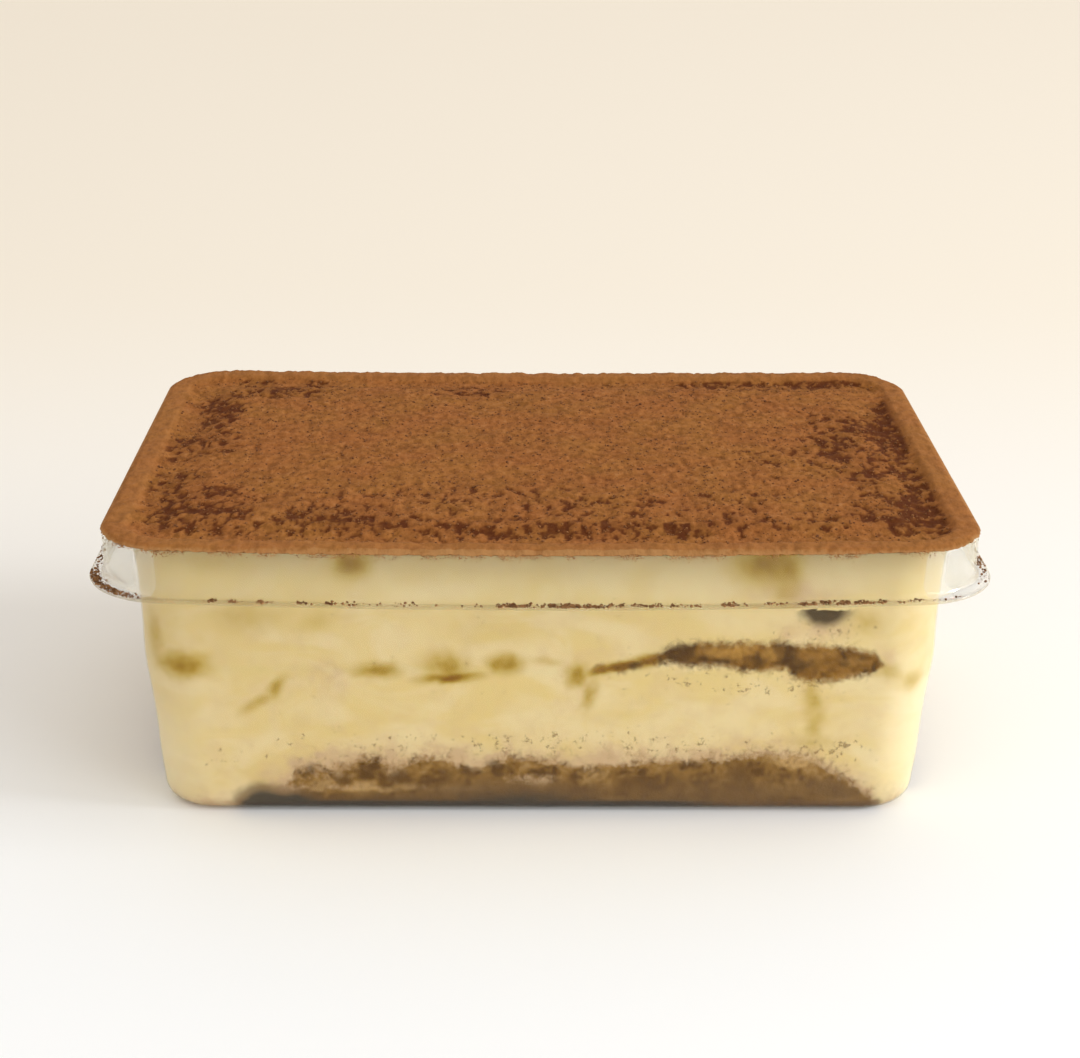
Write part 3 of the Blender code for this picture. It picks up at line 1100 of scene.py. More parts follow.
# Coffee stains and drips in the cream
STAINS = (
    *marks_on(
        Side.FRONT,
        (-0.0712, 0.0338, 0.0096, 0.005, 0.74, 4.0), (-0.077, 0.039, 0.0034, 0.011, 0.4),
        (-0.0528, 0.0288, 0.0056, 0.0026, 0.62, 56.0), (-0.0565, 0.0256, 0.008, 0.0022, 0.44, 34.0),
        (-0.032, 0.033, 0.0086, 0.0036, 0.62), (-0.0315, 0.0322, 0.005, 0.0016, 0.5),
        (-0.018, 0.0314, 0.0104, 0.0022, 0.9, 3.0), (-0.0188, 0.034, 0.009, 0.0056, 0.6),
        (-0.0072, 0.0345, 0.0066, 0.004, 0.72), (0.0012, 0.0352, 0.008, 0.0016, 0.34),
        (0.0074, 0.0318, 0.004, 0.005, 0.74), (0.0098, 0.0275, 0.0066, 0.0026, 0.52, 78.0),
        (0.015, 0.0338, 0.012, 0.0018, 0.95, 14.0), (0.021, 0.0352, 0.006, 0.0026, 0.8, 14.0),
        (0.0546, 0.027, 0.008, 0.0032, 0.5, 88.0), (0.0556, 0.02, 0.008, 0.0032, 0.43, 84.0),
        (0.0552, 0.0165, 0.0076, 0.0036, 0.34), (0.044, 0.056, 0.012, 0.0084, 0.78),
        (0.048, 0.0552, 0.0066, 0.008, 0.74), (0.048, 0.051, 0.0056, 0.006, 0.5),
        (-0.037, 0.0562, 0.0066, 0.0054, 0.86), (-0.064, 0.0566, 0.015, 0.0038, 0.24),
        (0.069, 0.033, 0.008, 0.0034, 0.4, -24.0), (0.0745, 0.03, 0.004, 0.004, 0.4),
        (0.064, 0.0435, 0.0076, 0.0048, 0.36), (-0.058, 0.0445, 0.013, 0.006, 0.34),
        (-0.044, 0.0435, 0.008, 0.004, 0.26, 20.0), (-0.01, 0.042, 0.02, 0.006, 0.12),
    ),
    *marks_on(
        Side.RIGHT,
        (-0.008, 0.027, 0.009, 0.0032, 0.6, 84.0), (0.033, 0.0335, 0.011, 0.0026, 0.7, -6.0),
        (-0.036, 0.05, 0.007, 0.005, 0.55),
    ),
    *marks_on(
        Side.BACK,
        (0.024, 0.0345, 0.0104, 0.0026, 0.8, 5.0), (-0.036, 0.033, 0.0124, 0.0028, 0.6, -4.0),
        (-0.01, 0.025, 0.008, 0.0032, 0.6, 88.0), (0.06, 0.052, 0.008, 0.006, 0.6),
    ),
    *marks_on(
        Side.LEFT,
        (0.002, 0.0345, 0.0104, 0.0026, 0.7), (0.019, 0.025, 0.008, 0.003, 0.55, 84.0),
        (-0.03, 0.051, 0.008, 0.005, 0.45),
    ),
)
# Smears of cream over the sponges
SMEARS = (
    *marks_on(
        Side.FRONT,
        (-0.04, 0.0056, 0.018, 0.0018, 0.4), (-0.02, 0.0054, 0.016, 0.0016, 0.3),
        (-0.043, 0.01, 0.012, 0.006, 0.36), (-0.03, 0.01, 0.005, 0.006, 0.42),
        (-0.014, 0.0115, 0.01, 0.004, 0.4), (-0.001, 0.0078, 0.01, 0.0024, 0.6),
        (0.012, 0.0118, 0.012, 0.004, 0.36), (0.03, 0.0128, 0.012, 0.003, 0.2),
    ),
    *marks_on(Side.RIGHT, (-0.01, 0.006, 0.016, 0.0018, 0.55), (0.026, 0.011, 0.01, 0.005, 0.45)),
    *marks_on(Side.BACK, (0.03, 0.0058, 0.02, 0.0018, 0.55), (-0.024, 0.01, 0.012, 0.006, 0.45)),
    *marks_on(Side.LEFT, (0.01, 0.006, 0.016, 0.0018, 0.55), (-0.018, 0.0105, 0.01, 0.005, 0.4)),
)
# Places at the foot of the base darkened partly by soaking and partly by painted shade
WETS_AND_SHADE = (
    *marks_on(
        Side.FRONT,
        (-0.0556, 0.001, 0.01, 0.008, 1.6), (-0.05, 0.0012, 0.011, 0.0064, 1.3),
        (-0.033, 0.0004, 0.042, 0.005, 1.2), (-0.025, 0.0028, 0.046, 0.003, 0.62),
        (0.036, 0.002, 0.056, 0.011, 0.58), (-0.004, 0.0014, 0.042, 0.01, 0.95),
        (0.06, 0.005, 0.016, 0.006, 0.52, -16.0),
    ),
    *marks_on(Side.BACK, (0.0, 0.0012, 0.08, 0.008, 0.55)),
    *marks_on(Side.RIGHT, (0.0, 0.0012, 0.06, 0.008, 0.55)),
    *marks_on(Side.LEFT, (0.0, 0.0012, 0.06, 0.008, 0.55)),
)
# Dark hearts of the sponges, and the deep spot below the flange
CORES = (
    *marks_on(
        Side.FRONT,
        (0.056, 0.0464, 0.008, 0.006, 1.9, 0.0, 0.0464), (-0.0463, 0.0103, 0.0022, 0.0026, 0.9),
        (-0.04, 0.0076, 0.003, 0.003, 0.9), (-0.0355, 0.0092, 0.0032, 0.0036, 1.0),
        (-0.0321, 0.008, 0.0026, 0.0034, 0.9), (-0.0285, 0.0084, 0.0034, 0.0034, 1.1),
        (-0.0229, 0.0076, 0.003, 0.0032, 1.0), (-0.0194, 0.0084, 0.003, 0.0032, 0.9),
        (-0.0146, 0.0098, 0.0024, 0.003, 0.9), (-0.0097, 0.0112, 0.0026, 0.0022, 1.0),
        (0.0195, 0.007, 0.007, 0.0044, 0.8), (0.0407, 0.009, 0.0056, 0.006, 0.9),
        (0.028, 0.0366, 0.0046, 0.0036, 1.2, 16.0), (0.036, 0.0352, 0.007, 0.0014, 0.7),
        (0.0402, 0.0334, 0.0016, 0.0016, 1.1), (0.0432, 0.035, 0.0024, 0.0026, 0.9),
        (0.049, 0.0366, 0.003, 0.0034, 0.9), (0.0187, 0.0342, 0.0018, 0.0016, 1.2),
    ),
    *marks_on(Side.RIGHT, (0.0, 0.009, 0.008, 0.004, 0.9), (0.024, 0.008, 0.005, 0.0036, 0.9)),
    *marks_on(Side.BACK, (0.036, 0.009, 0.007, 0.004, 0.9), (-0.018, 0.008, 0.006, 0.004, 0.9)),
    *marks_on(Side.LEFT, (0.024, 0.009, 0.006, 0.004, 0.9)),
)
# Pale stretches of the sponges
TANS = (
    *marks_on(
        Side.FRONT,
        (-0.035, 0.0054, 0.017, 0.0014, 0.9), (-0.0442, 0.0064, 0.005, 0.0026, 0.8),
        (-0.0361, 0.006, 0.0044, 0.0022, 0.9), (-0.0271, 0.006, 0.0044, 0.002, 0.8),
        (-0.016, 0.0056, 0.008, 0.0016, 0.6), (-0.0003, 0.0066, 0.005, 0.0024, 0.8),
        (0.0114, 0.0088, 0.005, 0.0034, 0.55), (0.03, 0.0024, 0.015, 0.0018, 0.6),
        (0.052, 0.0124, 0.008, 0.0026, 1.3), (0.062, 0.0026, 0.008, 0.002, 0.7),
        (0.037, 0.0372, 0.01, 0.003, 0.9), (0.0455, 0.0366, 0.0034, 0.0034, 0.8),
        (0.0535, 0.0354, 0.006, 0.003, 0.4), (0.062, 0.0348, 0.006, 0.002, 0.45),
    ),
    *marks_on(Side.RIGHT, (0.012, 0.035, 0.01, 0.0026, 0.6), (-0.02, 0.007, 0.016, 0.0024, 0.6)),
    *marks_on(Side.BACK, (0.002, 0.035, 0.012, 0.0026, 0.6), (0.03, 0.007, 0.024, 0.0024, 0.6)),
    *marks_on(Side.LEFT, (0.016, 0.035, 0.008, 0.0024, 0.6)),
)
# Cream tinged by the coffee
BLUSHES = (
    *marks_on(
        Side.FRONT,
        (-0.053, 0.008, 0.011, 0.008, 1.0), (-0.033, 0.0134, 0.024, 0.005, 0.5),
        (0.053, 0.0128, 0.011, 0.005, 0.9, -12.0), (0.064, 0.009, 0.01, 0.004, 0.7, -36.0),
        (0.053, 0.042, 0.012, 0.005, 0.9), (0.051, 0.0498, 0.018, 0.0044, 1.2),
        (0.07, 0.036, 0.006, 0.006, 0.5), (0.009, 0.036, 0.016, 0.004, 0.4),
        (-0.042, 0.032, 0.013, 0.008, 0.5),
    ),
)
# Stretches of the cream where crumbs lie
SPECKS = (
    *marks_on(
        Side.FRONT,
        (0.055, 0.042, 0.017, 0.008, 1.0), (0.04, 0.03, 0.038, 0.006, 0.9), (0.02, 0.035, 0.02, 0.005, 0.6),
        (0.0, 0.0165, 0.09, 0.0056, 1.05), (-0.045, 0.0165, 0.026, 0.006, 0.7),
        (-0.062, 0.013, 0.018, 0.009, 0.6), (0.058, 0.015, 0.02, 0.006, 1.2),
        (-0.022, 0.036, 0.026, 0.007, 0.42), (-0.04, 0.044, 0.06, 0.006, 0.34),
    ),
    *marks_on(Side.RIGHT, (0.0, 0.03, 0.05, 0.016, 0.5), (0.0, 0.0165, 0.06, 0.006, 0.8)),
    *marks_on(Side.BACK, (0.0, 0.03, 0.08, 0.016, 0.5), (0.0, 0.0165, 0.09, 0.006, 0.8)),
    *marks_on(Side.LEFT, (0.0, 0.03, 0.05, 0.016, 0.5), (0.0, 0.0165, 0.06, 0.006, 0.8)),
)


@dataclass(frozen=True)
class PaintedShading:
    """Painted shade and painted light on the cream behind the wall, in shares from 0 to 1."""

    brim: Range = (0.0470, 0.0597)
    upper: Range = (0.030, 0.040)
    upper_share: float = 0.12
    left: Range = (-0.02, -0.08)
    left_share: float = 0.30
    raised: Range = (0.012, 0.036)
    right: Range = (0.060, 0.086)
    right_fade: Range = (0.020, 0.045)
    end: Range = (-0.062, -0.080)
    end_share: float = 0.75
    foot: Range = (-0.054, -0.062)
    foot_fade: Range = (0.001, 0.008)
    foot_share: float = 0.60

    def at(self, x: Points, z: Points) -> tuple[Points, Points]:
        """Shares of painted shade, below the brim and to the left, and of painted light, low at either end.

        Args:
            x: Places along the tub.
            z: Heights.

        Returns:
            The share of painted shade and the share of painted light for each place.
        """
        raised = smooth_step(*self.raised, z)
        left = self.left_share * smooth_step(*self.left, x) * (0.2 + 0.8 * raised)
        upper = self.upper_share * smooth_step(*self.upper, z)
        painted_shade = np.maximum(smooth_step(*self.brim, z), upper + left)
        right = smooth_step(*self.right, x) * (1 - smooth_step(*self.right_fade, z))
        end = self.end_share * smooth_step(*self.end, x) * (1 - raised)
        foot = self.foot_share * smooth_step(*self.foot, x) * (1 - smooth_step(*self.foot_fade, z))
        return painted_shade, np.maximum(np.maximum(right, end), foot)


@dataclass
class Filling:
    """Sponge and cream, layer on layer, each reaching just into the tub's wall."""

    form: TubForm
    finish: Pressed = Pressed()
    painted_shading: PaintedShading = PaintedShading()
    ring_steps: tuple[int, int, int] = (26, 220, 140)
    reach: float = 0.00040
    base_top: float = 0.0134
    base_least: float = 0.0024
    base_swell: Unevenness = Unevenness(0.0009, 0.020, 3, 2)
    base_depth: float = 0.0024
    base_tail: float = 0.0020
    base_start: Range = (-0.0560, -0.0455)
    base_trace: float = 0.06
    start_lean: float = 0.25
    start_level: float = 0.0060
    start_wave: Unevenness = Unevenness(0.0018, 0.0036, 43)
    # Where the foot is darkened, partly by soaking and partly by painted shade
    wet_and_shade_rise: Range = (0.0020, 0.0042)
    wet_and_shade_left: Range = (-0.0630, -0.0600)
    wet_and_shade_right: Range = (0.0690, 0.0715)
    wet_and_shade_bare: Range = (0.80, 0.95)
    wet_and_shade_fade: Range = (0.024, 0.044)
    wet_and_shade_fade_share: float = 0.40
    halo: float = 1.5
    halo_tail: float = 0.0026
    seam: float = 0.0332
    seam_swell: Unevenness = Unevenness(0.0009, 0.030, 11, 2)
    seam_half_depth: float = 0.00022
    seam_least_depth: float = 0.000022
    middle_half_depth: float = 0.0046
    middle_wave: Unevenness = Unevenness(0.0010, 0.0070, 37)
    middle_spread: float = 0.0003
    middle_depth: float = 0.0020
    middle_tail: float = 0.0010
    thick_blend: Range = (0.0016, 0.0046)
    wall_blend: float = 0.0090
    brim: float = 0.0597
    brim_wave: Unevenness = Unevenness(0.00025, 0.012, 29, 2)
    mark_wave: Unevenness = Unevenness(0.0008, 0.0045, 31)
    mark_rise: float = 0.6
    ragged: float = 0.00075
    ragged_size: float = 0.0042
    frayed_size: float = 0.0013
    ragged_from: float = 0.0012
    band_ragged: float = 0.6
    row_step: float = 0.0006
    least_rows: int = 8
    inward: tuple[float, ...] = (0.0030, 0.0090, 0.0220, 0.0400)

    def __post_init__(self) -> None:
        """Lay out the ring of points beside the wall, at which heights are read."""
        self.pattern = RingPattern.stepped(*self.ring_steps)
        self.depth = self.form.sheet - self.reach
        inset = self.form.wall_inset(self.seam, self.depth)
        self.wall = self.form.ring(self.pattern, inset, self.seam, self.form.corner_at(inset, self.depth))

    def patch_reach(self, reach_of: Callable[[Patch], float], places: Points) -> Points:
        """How far the middle sponge reaches from its seam at places beside the wall.

        Args:
            reach_of: Which of a patch's two reaches is wanted.
            places: The places.

        Returns:
            A reach for each place.
        """
        reach = np.full(places.shape[:-1], self.seam_half_depth)
        for patch in PATCHES:
            away = np.hypot(places[..., 0] - patch.x, places[..., 1] - patch.y)
            share = np.clip(1 - (away / patch.half_length) ** 2, 0, None)
            reach = np.maximum(reach, reach_of(patch) * share ** 0.5)
        return reach

    def bareness(self, places: Points) -> tuple[Points, Points]:
        """How far cream takes the place of the base sponge.

        Args:
            places: Places beside the wall.

        Returns:
            The share in which it does, and the share in which it hides the sponge, at each place.
        """
        bare = np.zeros(places.shape[:-1])
        hidden = np.zeros(places.shape[:-1])
        for corner in CREAM_CORNERS:
            away = np.hypot(places[..., 0] - corner.x, places[..., 1] - corner.y)
            slope = (corner.slope_reach - away) / (corner.slope_reach - corner.bare_reach)
            bare = np.maximum(bare, np.clip(slope, 0, 1))
            hidden = np.maximum(hidden, smooth_step(corner.hides_from, 1.0, slope))
        return bare, hidden

    def edge(self, places: Points, seed: int) -> Points:
        """Ragged edge of a layer of sponge.

        Args:
            places: Places along the edge.
            seed: Number that tells one edge from another.

        Returns:
            Rise of the edge at each place.
        """
        frayed = 0.5 * rough(places, self.frayed_size, seed + 1, 2)
        return self.ragged * (rough(places, self.ragged_size, seed, 5) + frayed)

    def base_height(self, places: Points, inwards: float) -> Points:
        """Height of the top of the base sponge.

        Args:
            places: Places on the layer.
            inwards: Their distance from the wall.

        Returns:
            A height for each place.
        """
        inner = self.base_top + self.base_swell.at(places) + self.edge(places, BASE_SEED)
        at_wall = inner + (self.base_least - inner) * self.bareness(places)[0]
        return at_wall + (inner - at_wall) * smooth_step(0, self.wall_blend, np.asarray(inwards))

    def middle_height(self, places: Points, inwards: float, way: int) -> Points:
        """Height of one face of the middle sponge.

        Args:
            places: Places on the layer.
            inwards: Their distance from the wall.
            way: 1 for its top, -1 for its underside.

        Returns:
            A height for each place.
        """
        reach = self.patch_reach(lambda patch: patch.rise if way > 0 else patch.drop, places)
        ragged = self.edge(places, MIDDLE_SEED + 3 * way) * np.clip(reach / self.ragged_from, 0, 1)
        depth = np.maximum(reach + ragged, self.seam_least_depth)
        inner = smooth_step(0, self.wall_blend, np.asarray(inwards))
        seam = self.seam + self.seam_swell.at(places)
        return seam + way * (depth * (1 - inner) + self.middle_half_depth * inner)

    def middle_foot(self, places: Points, inwards: float) -> Points:
        """Height of the underside of the middle sponge."""
        return self.middle_height(places, inwards, -1)

    def middle_top(self, places: Points, inwards: float) -> Points:
        """Height of the top of the middle sponge."""
        return self.middle_height(places, inwards, 1)

    def brim_height(self, places: Points, inwards: float) -> Points:
        """Height of the top of the upper cream, under the cocoa."""
        wave = self.brim_wave.at(places) if inwards == 0 else 0.0
        return np.full(places.shape[:-1], self.brim) + wave

    def floor_height(self, places: Points, _inwards: float) -> Points:
        """Height of the flat underside of the base sponge."""
        return np.full(places.shape[:-1], self.depth)

    def outline(self, stations: Sequence[Station], seed: int) -> tuple[Points, Points]:
        """Ragged foot and top of a band of sponge beside the front wall.

        Args:
            stations: Places at which the band was measured.
            seed: Number that tells one edge from another.

        Returns:
            The heights of the foot and of the top, round the wall.
        """
        x = self.wall[..., 0]
        at = [station.x for station in stations]
        foot = np.interp(x, at, [station.foot for station in stations])
        top = np.interp(x, at, [station.top for station in stations])
        foot = foot + self.band_ragged * self.edge(self.wall, seed + FOOT_SEED)
        return foot, top + self.band_ragged * self.edge(self.wall, seed)

    def marked(self, marks: Sequence[Mark], places: Points) -> Points:
        """Strength of some marks.

        Args:
            marks: The marks.
            places: Rows of places round the wall.

        Returns:
            The strength of the strongest mark at each place.
        """
        wavy = self.mark_wave.at(places)
        height = places[..., 2] + self.mark_rise * wavy
        strength = np.zeros(places.shape[:-1])
        for mark in marks:
            facing = mark.side.faces(self.pattern.out_x, self.pattern.out_y)
            along = mark.side.along(places[..., 0], places[..., 1])
            strength = np.maximum(strength, mark.at(along + wavy, height) * facing)
        return strength

    def base_share(self, places: Points, above: Points, front: Points) -> Points:
        """Share of base sponge, which starts raggedly at the left of the front wall.

        Args:
            places: Rows of places round the wall.
            above: Height of each above the sponge's top.
            front: Share in which each lies on the front wall.

        Returns:
            Shares, from 0 in clean cream to 1 well inside the sponge.
        """
        within = 0.5 + 0.5 * smooth_step(0, self.base_depth, -above)
        share = np.where(above < 0, within, 0.5 * np.exp(-above / self.base_tail))
        start = places[..., 0] + self.start_lean * (places[..., 2] - self.start_level)
        started = smooth_step(*self.base_start, start + self.start_wave.at(places))
        started = self.base_trace + (1 - self.base_trace) * started
        return share * (1 + (started - 1) * front)

    def middle_share(self, places: Points, front: Points) -> Points:
        """Share of middle sponge, in its patches or, on the front wall, in its measured band.

        Args:
            places: Rows of places round the wall.
            front: Share in which each lies on the front wall.

        Returns:
            Shares, from 0 in clean cream to 1 well inside the sponge.
        """
        z = places[..., 2]
        low, high = self.middle_foot(self.wall, 0.0), self.middle_top(self.wall, 0.0)
        within = np.minimum(high - z, z - low) + self.middle_wave.at(self.wall)
        foot, top = self.outline(FRONT_MIDDLE, MIDDLE_SEED)
        banded = np.minimum(top - z, z - foot) + self.middle_spread
        within = within + (banded - within) * front
        share = 0.5 + 0.5 * smooth_step(0, self.middle_depth, within)
        share = np.where(within > 0, share, 0.5 * np.exp(within / self.middle_tail))
        return share * np.maximum(smooth_step(*self.thick_blend, high - low), front)

    def wet_and_shade_share(self, places: Points, bare: Points, front: Points) -> Points:
        """Wetness and painted shade of the lowest rows.

        Args:
            places: Rows of places round the wall.
            bare: Share in which cream takes the place of the base sponge.
            front: Share in which each place lies on the front wall.

        Returns:
            A share for each place.
        """
        x = places[..., 0]
        present = window(self.wet_and_shade_left, self.wet_and_shade_right, x) * front
        present = present + (1 - smooth_step(*self.wet_and_shade_bare, bare)) * (1 - front)
        fading = 1 - self.wet_and_shade_fade_share * smooth_step(*self.wet_and_shade_fade, x) * front
        return (1 - smooth_step(*self.wet_and_shade_rise, places[..., 2])) * present * fading

    def looks(self, places: Points) -> dict[str, Points]:
        """What the finish reads at places on the wall.

        Args:
            places: Rows of places round the wall.

        Returns:
            The shares of either sponge and of wetness with painted shade at the foot, the strengths of
            stains, crumbs, pale and dark sponge and tinged cream, and the shares of painted shade and
            painted light.
        """
        z = places[..., 2]
        front = Side.FRONT.faces(self.pattern.out_x, self.pattern.out_y)
        # Painted shade and painted light on the cream
        painted_shade, painted_light = self.painted_shading.at(places[..., 0], z)
        bare, hidden = self.bareness(self.wall)
        shown = 1 - hidden * (1 - front)
        _foot, top = self.outline(FRONT_BASE, BASE_SEED)
        above = z - self.base_height(self.wall, 0.0)
        above = above + (z - top - above) * front
        smears = self.marked(SMEARS, places)
        halo = self.halo * np.exp(-np.clip(above, 0, None) / self.halo_tail) * shown
        return {
            "base": self.base_share(places, above, front) * shown - smears,
            "middle": self.middle_share(places, front) - smears,
            "wet_and_shade": np.maximum(self.wet_and_shade_share(places, bare, front), self.marked(WETS_AND_SHADE, places)),
            "coffee": self.marked(STAINS, places),
            "speck": self.marked(SPECKS, places),
            "tan": self.marked(TANS, places),
            "core": self.marked(CORES, places),
            "blush": np.maximum(halo, self.marked(BLUSHES, places)),
            "painted_shade": painted_shade,
            "painted_light": painted_light,
        }

    def face_rings(self, height: Callable[[Points, float], Points]) -> Points:
        """Rings of a face that crosses the filling.

        Args:
            height: Height of the face, from places and their distance from the wall.

        Returns:
            The points, ring by ring from beside the wall inwards.
        """
        rings = []
        edge_inset = self.form.wall_inset(height(self.wall, 0.0), self.depth)
        seam_inset = self.form.wall_inset(self.seam, self.depth)
        edge_corner = self.form.corner_at(edge_inset, self.depth)
        for inwards in self.inward:
            share = smooth_step(0, self.inward[-1], np.asarray(inwards))
            inset = edge_inset * (1 - share) + seam_inset * share + inwards
            corner = np.clip(edge_corner - inwards, self.form.least_corner, None)
            z = height(self.form.ring(self.pattern, inset, self.seam, corner), inwards)
            rings.append(self.form.ring(self.pattern, inset, z, corner))
        return np.array(rings)

    def layer(self, node: str, slot: str, low: Callable[[Points, float], Points],
              high: Callable[[Points, float], Points], material: bpy.types.Material,
              crowding: float = 1.0) -> None:
        """Build one layer and dress it.

        Args:
            node: Solid that the layer stands for.
            slot: Material slot of the record.
            low: Height of its lower face.
            high: Height of its upper face.
            material: Finish.
            crowding: Power that crowds the side's rows towards its foot.
        """
        bottom, top = low(self.wall, 0.0), high(self.wall, 0.0)
        rows = max(self.least_rows, int(np.max(top - bottom) / self.row_step))
        shares = np.linspace(0, 1, rows + 1)[:, None] ** crowding
        z = bottom + (top - bottom) * shares
        inset = self.form.wall_inset(z, self.depth)
        side = self.form.ring(self.pattern, inset, z, self.form.corner_at(inset, self.depth))
        under, over = self.face_rings(low)[::-1], self.face_rings(high)
        stack = np.concatenate([under, side, over])
        middles = [(0.0, 0.0, float(np.mean(ring[:, 2]))) for ring in (under[0], over[-1])]
        points = np.concatenate([stack.reshape(-1, 3), middles])
        unseen = np.zeros(under[..., 0].size), np.zeros(over[..., 0].size + len(middles))
        numbers = {key: np.concatenate([unseen[0], values.ravel(), unseen[1]])
                   for key, values in self.looks(side).items()}
        faces = closed_faces(*stack.shape[:2])
        piece = make_piece(node + "_fill", points, faces, material, numbers)
        settle_piece(piece, slot, node)

    def build(self) -> None:
        """Build the layers from the bottom upwards."""
        cream = self.finish.material("mascarpone_cream")
        soaked = self.finish.material("soaked_sponge")
        coffee = self.finish.material("coffee_sponge")
        self.layer("sponge_base", "soaked_sponge", self.floor_height, self.base_height, soaked, 1.6)
        self.layer("cream_lower", "mascarpone_cream", self.base_height, self.middle_foot, cream, 1.2)
        self.layer("sponge_middle", "coffee_sponge", self.middle_foot, self.middle_top, coffee)
        self.layer("cream_upper", "mascarpone_cream", self.middle_top, self.brim_height, cream)


@dataclass(frozen=True)
class Blot:
    """Stretch of the cocoa where damp specks crowd together."""

    x: float
    y: float
    reach_x: float
    reach_y: float
    strength: float
    blend: Range = (0.35, 1.0)

    def at(self, places: Points) -> Points:
        """Crowding that the blot adds at places."""
        away = np.hypot((places[..., 0] - self.x) / self.reach_x, (places[..., 1] - self.y) / self.reach_y)
        return self.strength * (1 - smooth_step(*self.blend, away))


# Damp stretches of the cocoa: at the front, then round by the right and the back to the left
BLOTS = tuple(Blot(*row) for row in (
    (0.0, -0.048, 0.086, 0.0064, 0.25), (0.0, -0.038, 0.086, 0.024, 0.22),
    (-0.068, -0.044, 0.016, 0.01, 0.45), (-0.069, -0.033, 0.014, 0.013, 0.72),
    (-0.045, -0.043, 0.02, 0.01, 0.26), (0.027, -0.047, 0.008, 0.0036, 0.42),
    (0.006, -0.0475, 0.008, 0.0044, 0.1), (0.042, -0.048, 0.0036, 0.0044, 0.4),
    (0.056, -0.049, 0.007, 0.0044, 0.4), (0.073, -0.04, 0.014, 0.015, 0.62),
    (0.079, -0.03, 0.007, 0.028, 0.55), (0.08, 0.02, 0.007, 0.026, 0.85),
    (0.07, 0.002, 0.016, 0.038, 0.62), (0.05, -0.006, 0.013, 0.015, 0.26),
    (0.056, 0.053, 0.03, 0.009, 0.66), (-0.015, 0.046, 0.013, 0.009, 0.42),
    (-0.06, 0.048, 0.017, 0.014, 0.52), (-0.0725, 0.03, 0.007, 0.022, 0.75),
    (-0.074, 0.004, 0.011, 0.014, 0.56), (-0.077, -0.02, 0.008, 0.01, 0.56),
))


